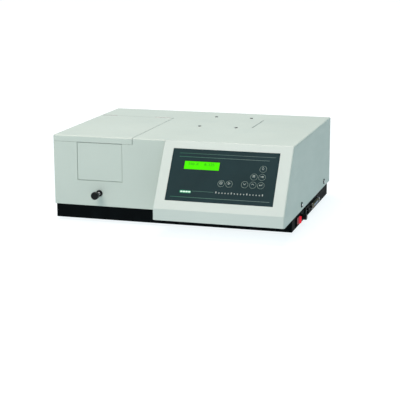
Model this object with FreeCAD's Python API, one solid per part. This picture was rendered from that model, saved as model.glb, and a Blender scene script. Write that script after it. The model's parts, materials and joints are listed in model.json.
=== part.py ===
"""Bench-top UV-visible spectrophotometer, one STEP file per sub-part.

Millimetres. Shapes are drawn in case coordinates: X to the right, Y backwards from the main front plane,
Z up from the underside of the base tray. export() then moves them into the part's own frame, whose origin
is the centre of the footprint at bench level.
"""

import FreeCAD
import Part
import math
import os
from FreeCAD import Vector as V

# ---- driving dimensions -------------------------------------------------------------------------------
WIDTH = 630.0            # overall width of the case
DEPTH = 470.0            # main front plane to rear face
CASE_HEIGHT = 215.0      # underside of the base tray to the top face
FOOT_HEIGHT = 8.0        # rubber feet below the tray
BASE_HEIGHT = 35.0       # visible height of the black base
OVERHANG = 101.0         # how far the control panel stands forward of the main front plane
BREAK_Z = 63.5           # where the sloped panel turns into its vertical lip
PANEL_X = -13.5          # left edge of the control panel
SHEET = 2.0              # sheet thickness of case and tray
EDGE_R = 4.0             # rounding of the outer edges

LEFT = -WIDTH / 2
RIGHT = WIDTH / 2
ORIGIN_SHIFT = V(0, -(DEPTH - OVERHANG) / 2, FOOT_HEIGHT)

# base tray, set in from the case
TRAY_INSET = 4.0
TRAY_FRONT = 2.0
TRAY_REAR = DEPTH - 13.0
TRAY_LEFT = LEFT + TRAY_INSET
TRAY_RIGHT = RIGHT - TRAY_INSET
FOOT_R = 14.0
FOOT_X = 255.0
FOOT_Y = (55.0, 405.0)

# sample compartment lid
LID_RIGHT = -100.0       # centre of the seam beside the lid
LID_REAR = 335.0
LID_LIP = 16.0
SEAM = 0.7               # half of the seam beside the lid
LIP_GAP = 0.5            # seam under the lid's lip
REAR_SEAM = 2.0
LID_OPEN_DEG = 80.0
HINGE_Y = LID_REAR + REAR_SEAM / 2
HINGE_Z = CASE_HEIGHT - 1.0
HINGE_X = ((-310.0, -266.0), (-154.0, -110.0))
KNUCKLE_R = 1.6
NOTCH = 2.4              # clearance cut around the knuckles, in front, behind and below
PIN_R = 0.8
LEAF = 0.7
LEAF_ON_CASE = 18.0      # how far the leaves reach below the hinge axis
LEAF_ON_LID = 15.5
KNUCKLE_PLAY = 0.15

# sample chamber, its deck and the removable front plate
CHAMBER_X = (-252.0, -125.0)
CHAMBER_Y = (11.0, 152.0)
CHAMBER_Z = (50.0, 188.0)
CHAMBER_WALL = 4.0
CHAMBER_END_WALL = 6.0
DECK_T = 2.0
RIM_H = 12.0
RIM_W = 8.0
PLATE_X = (-250.0, -127.5)
PLATE_Z = (100.0, 199.0)
PLATE_GAP = 1.1
PLATE_FLANGE = 4.0       # how far the plate's rear flange reaches behind the case front

# cell changer
BEAM_Y = 82.0
BEAM_Z = 90.0
BEAM_R = 7.0
CELL_PITCH = 16.0
CELL_COUNT = 4
CELL_WELL = 12.8
WELL_DEPTH = 40.0
CARRIAGE_TOP = 108.0
ROD_X = -191.0
ROD_Z = 68.5
ROD_R = 3.0
ROD_HOLE_R = 6.1         # hole for the rod's bush
BUSH_R = 6.0
BUSH_FLANGE_R = 8.5
BUSH_FLANGE_T = 5.0
KNOB_R = 10.0
KNOB_FACE_Y = -37.0
KNOB_LENGTH = 15.0
KNOB_NECK_R = 6.5
ROD_IN_KNOB = 5.0        # depth of the knob's blind end ahead of the rod
RUNNING = 0.05           # radial clearance of a running fit
RAIL_DX = 20.0
RAIL_Z = 57.5
RAIL_R = 3.0

# sloped control panel: U along X, S down the slope from the panel's top edge
SLOPE_LENGTH = math.hypot(OVERHANG, CASE_HEIGHT - BREAK_Z)
SLOPE_COS = (CASE_HEIGHT - BREAK_Z) / SLOPE_LENGTH
SLOPE_SIN = OVERHANG / SLOPE_LENGTH
BEZEL_T = 3.0
BEZEL_BACK = 2.2         # seam between bezel and top plate, behind the rounded edge
OVERLAY_U = (13.2, 283.5)
OVERLAY_S = (20.0, 158.5)
OVERLAY_T = 0.8
OVERLAY_RECESS = 1.0
SCREEN_U = (48.0, 137.0)
SCREEN_S = (52.3, 73.8)
SCREEN_RIM = 1.2         # how far the display reaches behind the overlay, all round
KEY_R = 9.0
KEY_GAP = 0.3
KEY_T = 1.3
KEY_TRAVEL = 0.4
KEYS = {
    "key_print": (148.5, 107.0),
    "key_start": (168.5, 107.0),
    "key_down": (207.0, 106.2),
    "key_up": (227.0, 106.2),
    "key_enter": (247.0, 106.2),
    "key_mode": (227.0, 85.0),
    "key_goto": (247.0, 85.0),
    "key_zero": (247.0, 63.8),
}

# right side of the base: switch, fuse, mains inlet and ports, all on one centre line
PORT_Z = 15.5
SWITCH_Y = 65.0
SWITCH_BEZEL = (40.0, 24.0, 3.5)
SWITCH_HOLE = (33.6, 18.6)
SWITCH_DEPTH = 26.0
SWITCH_FLOOR = 17.0       # floor of the rocker's hollow, inwards from the wall
ROCKER_PIVOT_X = TRAY_RIGHT - 3.0
ROCKER_TILT_DEG = 12.0
ROCKER_FACE = (8.2, 6.2)  # height of the rocker's face over its pivot, at its ends and middle
ROCKER_HALF = 14.9
TRUNNION_R = 1.5
FUSE_Y = 110.0
FUSE_REACH = 15.0
FUSE_BODY_R = 6.5
FUSE_FLANGE_R = 9.0
FUSE_CAP_R = 7.5
FUSE_DEPTH = 30.0
INLET_Y = 176.0
INLET_SCREW_DY = 20.0
INLET_FACE_X = TRAY_RIGHT + 3.0
INLET_FLANGE = (50.0, 24.0)
INLET_BODY = (28.0, 20.0, 5.0)        # length, height, cut corners
INLET_CAVITY = (24.6, 16.4, 4.4)
INLET_CAVITY_DEPTH = 17.0
INLET_BLADES = ((-7.0, -1.6), (0.0, 2.4), (7.0, -1.6))
BLADE_LENGTH = 14.0
PORT_Y = 270.0
PORT_SHELL = (66.0, 11.0)
PORT_FLANGE = (108.0, 16.0)
PORT_FLANGE_T = 1.2
PORT_REACH = 8.0
PORT_POST_R = 2.6
PORT_POST_IN = 6.0        # posts, inwards from the ends of the flange

# fasteners
SIDE_SCREW_Y = (94.0, 386.0)
SIDE_SCREW_Z = 50.0
SIDE_SCREW_R = 7.2
TAB_HALF = 10.0
TAB_T = 6.0
TAB_LOW = 26.0
TAB_TOP = 62.0
TOP_SCREW_X = (10.0, 110.0)
TOP_SCREW_Y = (222.0, 384.0)
TOP_SCREW_R = 4.0
VENT_SLOT = (149.0, 151.0, 233.0, 365.0)

# optics bench
MONO_X = (-96.0, 134.0)
MONO_Y = (20.0, 212.0)
MONO_Z = (40.0, 138.0)
MONO_WALL = 6.0
GRATING_X = 10.0
GRATING_Y = 150.0
SHAFT_R = 4.0
ARM_LENGTH = 60.0
ARM_Z = 71.0
SCREW_Y = GRATING_Y - ARM_LENGTH
SCREW_Z = 55.0
SCREW_R = 4.0
SLIT_X = 70.0
SLIT_WIDTH = 1.0
SLIT_HEIGHT = 10.0
WHEEL_R = 30.0
WHEEL_HOLE_R = 22.0
WHEEL_X = SLIT_X + WHEEL_HOLE_R
WHEEL_Y = 196.0
LAMP_X = (0.0, 160.0)
LAMP_Y = (214.0, 394.0)
LAMP_FLOOR = 40.0
LAMP_WALL = 1.5
LAMP_SEAT = LAMP_FLOOR + LAMP_WALL
DEUTERIUM_AT = (44.0, 340.0)
TUNGSTEN_AT = (118.0, 300.0)
SOURCE_MIRROR = (70.0, 262.0)
SMALL_MOTOR_R = 14.0

# fan on the rear wall
FAN_X = 80.0
FAN_Z = 105.0
FAN_SIZE = 80.0
FAN_DEPTH = 25.0
FAN_BORE_R = 38.0
FAN_ROTOR_R = 36.5
FAN_REAR = DEPTH - SHEET
FAN_BLADES = 7

# circuit boards
BOARD_T = 1.6
MAIN_BOARD = (152.0, 300.0, 20.0, 196.0)
MAIN_BOARD_Z = 48.0
POWER_BOARD = (172.0, 300.0, 212.0, 296.0)
POWER_BOARD_Z = 30.0
SPACER_R = 3.0

PARTS = "parts"


# ---- helpers ------------------------------------------------------------------------------------------
def box(x0, x1, y0, y1, z0, z1):
    return Part.makeBox(x1 - x0, y1 - y0, z1 - z0, V(x0, y0, z0))


def slab_x(x0, x1, length, height, y, z):
    """A box from x0 to x1, centred on (y, z)."""
    return box(x0, x1, y - length / 2, y + length / 2, z - height / 2, z + height / 2)


def cyl_x(radius, x0, x1, y, z):
    return Part.makeCylinder(radius, x1 - x0, V(x0, y, z), V(1, 0, 0))


def cyl_y(radius, y0, y1, x, z):
    return Part.makeCylinder(radius, y1 - y0, V(x, y0, z), V(0, 1, 0))


def cyl_z(radius, z0, z1, x, y):
    return Part.makeCylinder(radius, z1 - z0, V(x, y, z0), V(0, 0, 1))


def prism_x(points, x0, x1):
    """A (y, z) outline extruded from x0 to x1."""
    loop = [V(x0, y, z) for y, z in points]
    return Part.Face(Part.makePolygon(loop + loop[:1])).extrude(V(x1 - x0, 0, 0))


def prism_z(points, z0, z1):
    """An (x, y) outline extruded from z0 to z1."""
    loop = [V(x, y, z0) for x, y in points]
    return Part.Face(Part.makePolygon(loop + loop[:1])).extrude(V(0, 0, z1 - z0))


def round_edges(shape, radius, wanted):
    """Rounds the straight edges whose two end points both pass the test wanted(point, point)."""
    chosen = [e for e in shape.Edges if len(e.Vertexes) == 2 and wanted(*(v.Point for v in e.Vertexes))]
    return shape.makeFillet(radius, chosen)


def near(a, b):
    return abs(a - b) < 1e-6


def group(solids):
    """Several separate solids of one node."""
    return Part.makeCompound(solids)


def joined(first, *others):
    return first.multiFuse(list(others)).removeSplitter()


def from_panel(shape):
    """Moves a shape drawn flat (x = U, y = -S, z = outwards) onto the sloped control panel."""
    matrix = FreeCAD.Matrix(
        1, 0, 0, 0,
        0, SLOPE_SIN, -SLOPE_COS, 0,
        0, SLOPE_COS, SLOPE_SIN, CASE_HEIGHT,
        0, 0, 0, 1,
    )
    moved = shape.copy()
    moved.Placement = FreeCAD.Placement(matrix).multiply(moved.Placement)
    return moved


def panel_box(u0, u1, s0, s1, n0, n1):
    return from_panel(box(u0, u1, -s1, -s0, n0, n1))


def panel_disc(radius, u, s, n0, n1):
    return from_panel(cyl_z(radius, n0, n1, u, -s))


# ---- outer shape shared by case, lid and bezel ---------------------------------------------------------
def left_body():
    body = box(LEFT, PANEL_X, 0, DEPTH, BASE_HEIGHT, CASE_HEIGHT)

    def outer(a, b):
        on_top = near(a.z, CASE_HEIGHT) and near(b.z, CASE_HEIGHT)
        at_seam = near(a.x, PANEL_X) and near(b.x, PANEL_X)
        upright = near(a.x, LEFT) and near(b.x, LEFT) and near(a.y, b.y)
        return (on_top and not at_seam) or upright

    return round_edges(body, EDGE_R, outer)


def right_body():
    profile = [
        (-OVERHANG, BASE_HEIGHT),
        (-OVERHANG, BREAK_Z),
        (0, CASE_HEIGHT),
        (DEPTH, CASE_HEIGHT),
        (DEPTH, BASE_HEIGHT),
    ]
    body = prism_x(profile, PANEL_X, RIGHT)

    def outer(a, b):
        at_right = near(a.x, RIGHT) and near(b.x, RIGHT)
        off_floor = not (near(a.z, BASE_HEIGHT) and near(b.z, BASE_HEIGHT))
        across = not near(a.x, b.x) and off_floor
        panel_left = near(a.x, PANEL_X) and near(b.x, PANEL_X) and max(a.y, b.y) < 1 and off_floor
        return (at_right and off_floor) or across or panel_left

    return round_edges(body, EDGE_R, outer)


def hinge_notch(margin, y0, y1):
    return [box(x0 - margin, x1 + margin, y0, y1, HINGE_Z - NOTCH, CASE_HEIGHT + 1) for x0, x1 in HINGE_X]


# ---- casing -------------------------------------------------------------------------------------------
def upper_case():
    case = left_body().fuse(right_body()).removeSplitter()
    panel_gap = 0.2
    bezel_end = BEZEL_BACK + panel_gap
    lip_low = CASE_HEIGHT - LID_LIP
    seam_x = LID_RIGHT + SEAM
    seam_y = LID_REAR + REAR_SEAM
    case = case.cut(
        [
            box(LEFT + SHEET, RIGHT - SHEET, SHEET, DEPTH - SHEET, 0, CASE_HEIGHT - SHEET),
            box(PANEL_X - panel_gap, RIGHT - SHEET, -OVERHANG - 1, bezel_end, 0, CASE_HEIGHT + 1),
            box(LEFT - 1, seam_x, -1, seam_y, lip_low - LIP_GAP, CASE_HEIGHT + 1),
            box(*PLATE_X, -1, SHEET + 1, PLATE_Z[0], lip_low),
            box(*VENT_SLOT, CASE_HEIGHT - SHEET - 1, CASE_HEIGHT + 1),
            cyl_y(ROD_HOLE_R, -1, SHEET + 1, ROD_X, ROD_Z),
        ]
        + [cyl_x(2.6, LEFT - 1, RIGHT + 1, y, SIDE_SCREW_Z) for y in SIDE_SCREW_Y]
        + [cyl_z(2.2, CASE_HEIGHT - 5, CASE_HEIGHT + 1, x, y) for x in TOP_SCREW_X for y in TOP_SCREW_Y]
        + rear_grille()
    )
    flange_low = CHAMBER_Z[1]
    flanges = [
        box(seam_x, seam_x + SHEET, SHEET, seam_y + SHEET, flange_low, CASE_HEIGHT - SHEET),
        box(LEFT + SHEET, seam_x + SHEET, seam_y, seam_y + SHEET, flange_low, CASE_HEIGHT - SHEET),
    ]
    return joined(case, *flanges, *bottom_flanges()).cut(hinge_notch(0.5, HINGE_Y, HINGE_Y + NOTCH))


def bottom_flanges():
    """Inward flanges that close the step between the case and the tray at the sides and the rear."""
    z0, z1 = BASE_HEIGHT, BASE_HEIGHT + SHEET
    inner = RIGHT - SHEET
    strips = [box(-inner, inner, TRAY_REAR - 4, DEPTH - SHEET, z0, z1)]
    gaps = [box(-RIGHT, RIGHT, y - TAB_HALF - 0.3, y + TAB_HALF + 0.3, z0 - 1, z1 + 1) for y in SIDE_SCREW_Y]
    for x0, x1 in ((-inner, -inner + 6), (inner - 6, inner)):
        strips += box(x0, x1, BEZEL_BACK + 1, TRAY_REAR - 4, z0, z1).cut(gaps).Solids
    return strips


def rear_grille():
    """Rows of slots through the rear wall in front of the fan, kept inside its bore."""
    slots = []
    pitch, height = 7.0, 3.4
    for row in range(-4, 5):
        z = FAN_Z + row * pitch
        half = math.sqrt((FAN_BORE_R - 3) ** 2 - (abs(row * pitch) + height / 2) ** 2)
        slots.append(box(FAN_X - half, FAN_X - 2, DEPTH - 5, DEPTH + 1, z - height / 2, z + height / 2))
        slots.append(box(FAN_X + 2, FAN_X + half, DEPTH - 5, DEPTH + 1, z - height / 2, z + height / 2))
    return slots


def sample_lid():
    right = LID_RIGHT - SEAM
    low = CASE_HEIGHT - LID_LIP
    lid = left_body().common(box(LEFT - 1, right, -1, LID_REAR, low, CASE_HEIGHT + 1))
    hollow = box(LEFT + SHEET, right - SHEET, SHEET, LID_REAR - SHEET, low - 1, CASE_HEIGHT - SHEET)
    return lid.cut([hollow] + hinge_notch(0.5, HINGE_Y - NOTCH, HINGE_Y))


def chamber_ring(z0, z1):
    outer = box(CHAMBER_X[0] - RIM_W, CHAMBER_X[1] + RIM_W, CHAMBER_Y[0] - 6, CHAMBER_Y[1] + RIM_W, z0, z1)
    return outer.cut(box(*CHAMBER_X, *CHAMBER_Y, z0 - 1, z1 + 1))


def lid_seal():
    return chamber_ring(CHAMBER_Z[1] + DECK_T + RIM_H + 0.4, CASE_HEIGHT - SHEET)


def compartment_deck():
    z0 = CHAMBER_Z[1]
    plate = box(LEFT + SHEET, LID_RIGHT + SEAM, 4, LID_REAR + REAR_SEAM, z0, z0 + DECK_T)
    plate = plate.cut(box(*CHAMBER_X, *CHAMBER_Y, z0 - 1, z0 + 9))
    return joined(plate, chamber_ring(z0 + DECK_T, z0 + DECK_T + RIM_H))


def front_access_plate():
    gap = PLATE_GAP
    x0, x1 = PLATE_X[0] + gap, PLATE_X[1] - gap
    face = box(x0, x1, 0.6, SHEET, PLATE_Z[0] + gap, PLATE_Z[1] - gap)
    reach = PLATE_FLANGE
    flange = box(x0 - reach, x1 + reach, SHEET, SHEET + 1.5, PLATE_Z[0] - reach, PLATE_Z[1] - gap)
    return joined(face, flange)


def bezel_inner():
    """The hollow behind the bezel: its outline moved inwards by the wall thickness, open at the back."""
    t = BEZEL_T
    top = CASE_HEIGHT - t
    at_top = (t / SLOPE_COS - t * SLOPE_SIN / SLOPE_COS, top)
    at_break = (-OVERHANG + t, top - (at_top[0] + OVERHANG - t) * SLOPE_COS / SLOPE_SIN)
    outline = [at_top, at_break, (-OVERHANG + t, BASE_HEIGHT + t), (60, BASE_HEIGHT + t), (60, top)]
    return prism_x(outline, PANEL_X + t, RIGHT - SHEET - t)


def control_bezel():
    bezel = right_body().common(
        box(PANEL_X, RIGHT - SHEET - 0.1, -OVERHANG - 1, BEZEL_BACK, BASE_HEIGHT - 1, CASE_HEIGHT + 1)
    )
    cuts = [
        bezel_inner(),
        panel_box(*OVERLAY_U, *OVERLAY_S, -OVERLAY_RECESS, 5),
        panel_box(SCREEN_U[0] - 1.5, SCREEN_U[1] + 1.5, SCREEN_S[0] - 1.5, SCREEN_S[1] + 1.5, -9, 5),
    ]
    cuts += [panel_disc(KEY_R + 0.6, u, s, -9, 5) for u, s in KEYS.values()]
    return bezel.cut(cuts)


def membrane_overlay():
    gap = 0.2
    low = -OVERLAY_RECESS
    sheet = panel_box(
        OVERLAY_U[0] + gap, OVERLAY_U[1] - gap, OVERLAY_S[0] + gap, OVERLAY_S[1] - gap, low, low + OVERLAY_T
    )
    holes = [panel_disc(KEY_R + KEY_GAP, u, s, -9, 5) for u, s in KEYS.values()]
    return sheet.cut(holes + [panel_box(*SCREEN_U, *SCREEN_S, -9, 5)])


def key_cap(u, s):
    """A domed key disc, drawn flat and then laid on the slope."""
    low = -OVERLAY_RECESS
    disc = cyl_z(KEY_R, low, low + KEY_T, u, -s)
    disc = disc.makeFillet(0.4, [e for e in disc.Edges if near(e.BoundBox.ZMin, low + KEY_T)])
    return from_panel(disc)


def lcd_screen():
    u0, u1 = SCREEN_U[0] - SCREEN_RIM, SCREEN_U[1] + SCREEN_RIM
    s0, s1 = SCREEN_S[0] - SCREEN_RIM, SCREEN_S[1] + SCREEN_RIM
    return panel_box(u0, u1, s0, s1, -4.6, -OVERLAY_RECESS - 0.2)


def lcd_board():
    board = panel_box(SCREEN_U[0] - 16, SCREEN_U[1] + 16, SCREEN_S[0] - 11, SCREEN_S[1] + 11, -7.6, -6.0)
    frame = panel_box(SCREEN_U[0] - 6, SCREEN_U[1] + 6, SCREEN_S[0] - 4, SCREEN_S[1] + 4, -6.0, -4.6)
    return joined(board, frame)


def keypad_board():
    """Circuit board behind the keys, with one short-travel switch under each key."""
    us = [u for u, _ in KEYS.values()]
    ss = [s for _, s in KEYS.values()]
    board = panel_box(min(us) - 14, max(us) + 14, min(ss) - 14, max(ss) + 14, -10.6, -9.0)
    top = -OVERLAY_RECESS - KEY_TRAVEL - 0.1
    switches = []
    for u, s in KEYS.values():
        switches.append(panel_box(u - 3, u + 3, s - 3, s + 3, -9.0, -3.5))
        switches.append(panel_disc(1.7, u, s, -3.5, top))
    return joined(board, *switches)


# ---- base ---------------------------------------------------------------------------------------------
def base_tray():
    outer = box(TRAY_LEFT, TRAY_RIGHT, TRAY_FRONT, TRAY_REAR, 0, BASE_HEIGHT)
    outer = round_edges(outer, 2.0, lambda a, b: near(a.x, b.x) and near(a.y, b.y))
    t = SHEET
    hollow = box(TRAY_LEFT + t, TRAY_RIGHT - t, TRAY_FRONT + t, TRAY_REAR - t, t, BASE_HEIGHT + 1)
    tabs = [tab for y in SIDE_SCREW_Y for side in (-1, 1) for tab in screw_tab(side, y)]
    tray = joined(outer.cut(hollow), *tabs)
    cuts = [cyl_x(2.2, LEFT, RIGHT, y, SIDE_SCREW_Z) for y in SIDE_SCREW_Y]
    cuts += [cyl_z(3.0, -1, SHEET + 1, x, y) for x, y in foot_places()]
    return tray.cut(cuts + side_cutouts() + floor_vents())


def screw_tab(side, y):
    """A tab inside the case wall for a side screw, and its foot on the tray wall."""
    outer_x = side * (RIGHT - SHEET)
    inner_x = side * (RIGHT - SHEET - TAB_T)
    foot_x = side * (TRAY_RIGHT - 1)
    y0, y1 = y - TAB_HALF, y + TAB_HALF
    tab = box(min(outer_x, inner_x), max(outer_x, inner_x), y0, y1, BASE_HEIGHT, TAB_TOP)
    foot = box(min(inner_x, foot_x), max(inner_x, foot_x), y0, y1, TAB_LOW, BASE_HEIGHT)
    return tab, foot


def foot_places():
    return [(x, y) for x in (-FOOT_X, FOOT_X) for y in FOOT_Y]


def wall_hole(y, length, height):
    return slab_x(TRAY_RIGHT - SHEET - 1, TRAY_RIGHT + 1, length, height, y, PORT_Z)


def side_cutouts():
    return [
        wall_hole(SWITCH_Y, SWITCH_HOLE[0] + 3, SWITCH_HOLE[1] + 2.4),
        cyl_x(FUSE_BODY_R + 0.2, TRAY_RIGHT - SHEET - 1, TRAY_RIGHT + 1, FUSE_Y, PORT_Z),
        wall_hole(INLET_Y, INLET_BODY[0] + 0.2, INLET_BODY[1] + 0.2),
        wall_hole(PORT_Y, PORT_SHELL[0] + 2, PORT_SHELL[1] + 0.6),
    ]


def floor_vents():
    """Air slots in the tray floor under the lamp house and the power board."""
    slots = []
    for x0, y0 in ((20.0, 300.0), (194.0, 222.0)):
        for step in range(9):
            x = x0 + 9 * step
            slots.append(box(x, x + 3.2, y0, y0 + 50, -1, SHEET + 1))
    return slots


def rubber_feet():
    feet = []
    for x, y in foot_places():
        foot = cyl_z(FOOT_R, -FOOT_HEIGHT, 0, x, y)
        foot = foot.makeFillet(2.0, [e for e in foot.Edges if near(e.BoundBox.ZMax, -FOOT_HEIGHT)])
        plug = cyl_z(2.9, 0, SHEET + 2, x, y)
        feet.append(joined(foot, plug))
    return group(feet)


def switch_slab(x0, x1, length, height):
    return slab_x(x0, x1, length, height, SWITCH_Y, PORT_Z)


def power_switch_body():
    bezel = switch_slab(TRAY_RIGHT, TRAY_RIGHT + SWITCH_BEZEL[2], *SWITCH_BEZEL[:2])
    bezel = round_edges(bezel, 1.2, lambda a, b: near(a.x, TRAY_RIGHT + SWITCH_BEZEL[2]) and near(b.x, a.x))
    body = switch_slab(TRAY_RIGHT - SWITCH_DEPTH, TRAY_RIGHT, SWITCH_HOLE[0] + 2.6, SWITCH_HOLE[1] + 2)
    hollow = switch_slab(TRAY_RIGHT - SWITCH_FLOOR, TRAY_RIGHT + 5, *SWITCH_HOLE)
    return joined(bezel, body).cut([hollow, trunnion(TRUNNION_R + RUNNING, SWITCH_HOLE[1] / 2 + 2)])


def trunnion(radius, half_length):
    return cyl_z(radius, PORT_Z - half_length, PORT_Z + half_length, ROCKER_PIVOT_X, SWITCH_Y)


def power_rocker():
    """Rocker with its trunnions, tilted to its rest side: the rear end out, the front end pressed in."""
    end, middle = ROCKER_FACE
    outline = [
        (-7.0, -9.0),
        (-7.0, 9.0),
        (0.0, 13.5),
        (end, ROCKER_HALF),
        (middle, 0.0),
        (end, -ROCKER_HALF),
        (0.0, -13.5),
    ]
    points = [(ROCKER_PIVOT_X + out, SWITCH_Y + along) for out, along in outline]
    half = SWITCH_HOLE[1] / 2 - 0.4
    rocker = prism_z(points, PORT_Z - half, PORT_Z + half)
    top_edges = [e for e in rocker.Edges if e.BoundBox.XMin > ROCKER_PIVOT_X + middle - 0.5]
    rocker = rocker.makeFillet(0.8, top_edges)
    rocker.rotate(V(ROCKER_PIVOT_X, SWITCH_Y, 0), V(0, 0, 1), -ROCKER_TILT_DEG)
    return joined(rocker, trunnion(TRUNNION_R, SWITCH_HOLE[1] / 2 + 0.9))


def fuse_holder():
    body = cyl_x(FUSE_BODY_R, TRAY_RIGHT - FUSE_DEPTH, TRAY_RIGHT, FUSE_Y, PORT_Z)
    flange = cyl_x(FUSE_FLANGE_R, TRAY_RIGHT, TRAY_RIGHT + 2, FUSE_Y, PORT_Z)
    cap_face = TRAY_RIGHT + FUSE_REACH
    cap = cyl_x(FUSE_CAP_R, TRAY_RIGHT + 2, cap_face, FUSE_Y, PORT_Z)
    cap = cap.makeFillet(1.0, [e for e in cap.Edges if near(e.BoundBox.XMin, cap_face)])
    cap = cap.cut(slab_x(cap_face - 1.5, cap_face + 1, 10, 1.4, FUSE_Y, PORT_Z))
    return group([joined(body, flange), cap])


def inlet_outline(length, height, chamfer):
    """Outline of the mains inlet in (y, z), with its two upper corners cut off."""
    y0, y1 = INLET_Y - length / 2, INLET_Y + length / 2
    z0, z1 = PORT_Z - height / 2, PORT_Z + height / 2
    upper = [(y1, z1 - chamfer), (y1 - chamfer, z1), (y0 + chamfer, z1), (y0, z1 - chamfer)]
    return [(y0, z0), (y1, z0)] + upper


def power_inlet():
    face = INLET_FACE_X
    flange = slab_x(TRAY_RIGHT, face, *INLET_FLANGE, INLET_Y, PORT_Z)
    flange = round_edges(flange, 3.0, lambda a, b: near(a.y, b.y) and near(a.z, b.z))
    body = prism_x(inlet_outline(*INLET_BODY), TRAY_RIGHT - 20, TRAY_RIGHT)
    cavity = prism_x(inlet_outline(*INLET_CAVITY), face - INLET_CAVITY_DEPTH, face + 1)
    screw_places = (INLET_Y - INLET_SCREW_DY, INLET_Y + INLET_SCREW_DY)
    screws = [cyl_x(1.8, TRAY_RIGHT - 1, face + 1, y, PORT_Z) for y in screw_places]
    return joined(flange, body).cut([cavity] + screws)


def inlet_pins():
    """Live, earth and neutral blades of the mains inlet, standing on the cavity's floor."""
    floor = INLET_FACE_X - INLET_CAVITY_DEPTH
    tip = floor + BLADE_LENGTH
    return group([slab_x(floor, tip, 2, 4, INLET_Y + dy, PORT_Z + dz) for dy, dz in INLET_BLADES])


def printer_port():
    """Ribbon-contact printer socket: metal flange and D-shaped shell, contact bar inside, end posts."""
    def outline(length, height):
        half, slant = length / 2, height * 0.25
        low, high = PORT_Z - height / 2, PORT_Z + height / 2
        return [(PORT_Y - half + slant, low), (PORT_Y + half - slant, low), (PORT_Y + half, high),
                (PORT_Y - half, high)]

    length, height = PORT_SHELL
    long, tall = PORT_FLANGE[0] / 2, PORT_FLANGE[1] / 2
    wall, seat, face = TRAY_RIGHT, TRAY_RIGHT + PORT_FLANGE_T, TRAY_RIGHT + PORT_REACH
    flange = box(wall, seat, PORT_Y - long, PORT_Y + long, PORT_Z - tall, PORT_Z + tall)
    flange = round_edges(flange, 2.0, lambda a, b: near(a.y, b.y) and near(a.z, b.z))
    shell = prism_x(outline(length, height), seat, face)
    shell = shell.cut(prism_x(outline(length - 2, height - 2), wall + 2, face + 1))
    bar = slab_x(seat, face - 1, length - 12, 3.2, PORT_Y, PORT_Z)
    back = slab_x(wall - 10, wall, length, 10, PORT_Y, PORT_Z)
    post_places = (PORT_Y - long + PORT_POST_IN, PORT_Y + long - PORT_POST_IN)
    posts = [cyl_x(PORT_POST_R, seat, face - 1, y, PORT_Z) for y in post_places]
    return joined(flange, shell, bar, back, *posts)


def screw(head_r, head_t, shank_r, shank_l):
    """A pan-head screw along +Z with its head's seat at z = 0, and a cross recess."""
    head = cyl_z(head_r, 0, head_t, 0, 0)
    head = head.makeFillet(head_t * 0.45, [e for e in head.Edges if near(e.BoundBox.ZMin, head_t)])
    body = joined(head, cyl_z(shank_r, -shank_l, 0, 0, 0))
    arm, half = head_r * 0.55, head_r * 0.12
    low, high = head_t * 0.45, head_t + 1
    return body.cut([box(-arm, arm, -half, half, low, high), box(-half, half, -arm, arm, low, high)])


def case_screws():
    screws = []
    for y in SIDE_SCREW_Y:
        for side in (-1, 1):
            s = screw(SIDE_SCREW_R, 3.2, 2.1, 8.0)
            s.rotate(V(0, 0, 0), V(0, 1, 0), 90 * side)
            s.translate(V(side * RIGHT, y, SIDE_SCREW_Z))
            screws.append(s)
    return group(screws)


def top_screws():
    screws = []
    for x in TOP_SCREW_X:
        for y in TOP_SCREW_Y:
            s = screw(TOP_SCREW_R, 1.8, 1.8, 7.0)
            s.translate(V(x, y, CASE_HEIGHT))
            screws.append(s)
    return group(screws)


# ---- lid hinges ---------------------------------------------------------------------------------------
def knuckle(x0, x1):
    barrel = cyl_x(KNUCKLE_R, x0, x1, HINGE_Y, HINGE_Z)
    return barrel.cut(cyl_x(PIN_R + RUNNING, x0 - 1, x1 + 1, HINGE_Y, HINGE_Z))


def hinge_thirds(x0, x1):
    third = (x1 - x0) / 3
    return x0, x0 + third, x1 - third, x1


def hinge_leaves():
    """The two leaves on the case, each with its outer knuckles."""
    leaves = []
    back = LID_REAR + REAR_SEAM
    for x0, x1 in HINGE_X:
        a, b, c, d = hinge_thirds(x0, x1)
        low = box(a, d, back - LEAF, back, HINGE_Z - LEAF_ON_CASE, HINGE_Z - NOTCH)
        pieces = []
        for p, q in ((a, b - KNUCKLE_PLAY), (c + KNUCKLE_PLAY, d)):
            neck = box(p, q, back - LEAF, back, HINGE_Z - NOTCH, HINGE_Z)
            pieces.append(neck.cut(cyl_x(PIN_R + RUNNING, p - 1, q + 1, HINGE_Y, HINGE_Z)))
            pieces.append(knuckle(p, q))
        leaves.append(joined(low, *pieces))
    return group(leaves)


def lid_hinge_leaves():
    """The two leaves on the lid, each with its middle knuckle."""
    leaves = []
    for x0, x1 in HINGE_X:
        a, b, c, d = hinge_thirds(x0, x1)
        low = box(a, d, LID_REAR, LID_REAR + LEAF, HINGE_Z - LEAF_ON_LID, HINGE_Z - NOTCH)
        neck = box(b + KNUCKLE_PLAY, c - KNUCKLE_PLAY, LID_REAR, LID_REAR + LEAF, HINGE_Z - NOTCH, HINGE_Z)
        neck = neck.cut(cyl_x(PIN_R + RUNNING, a, d, HINGE_Y, HINGE_Z))
        leaves.append(joined(low, neck, knuckle(b + KNUCKLE_PLAY, c - KNUCKLE_PLAY)))
    return group(leaves)


def hinge_pins():
    return group([cyl_x(PIN_R, x0, x1, HINGE_Y, HINGE_Z) for x0, x1 in HINGE_X])


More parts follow.
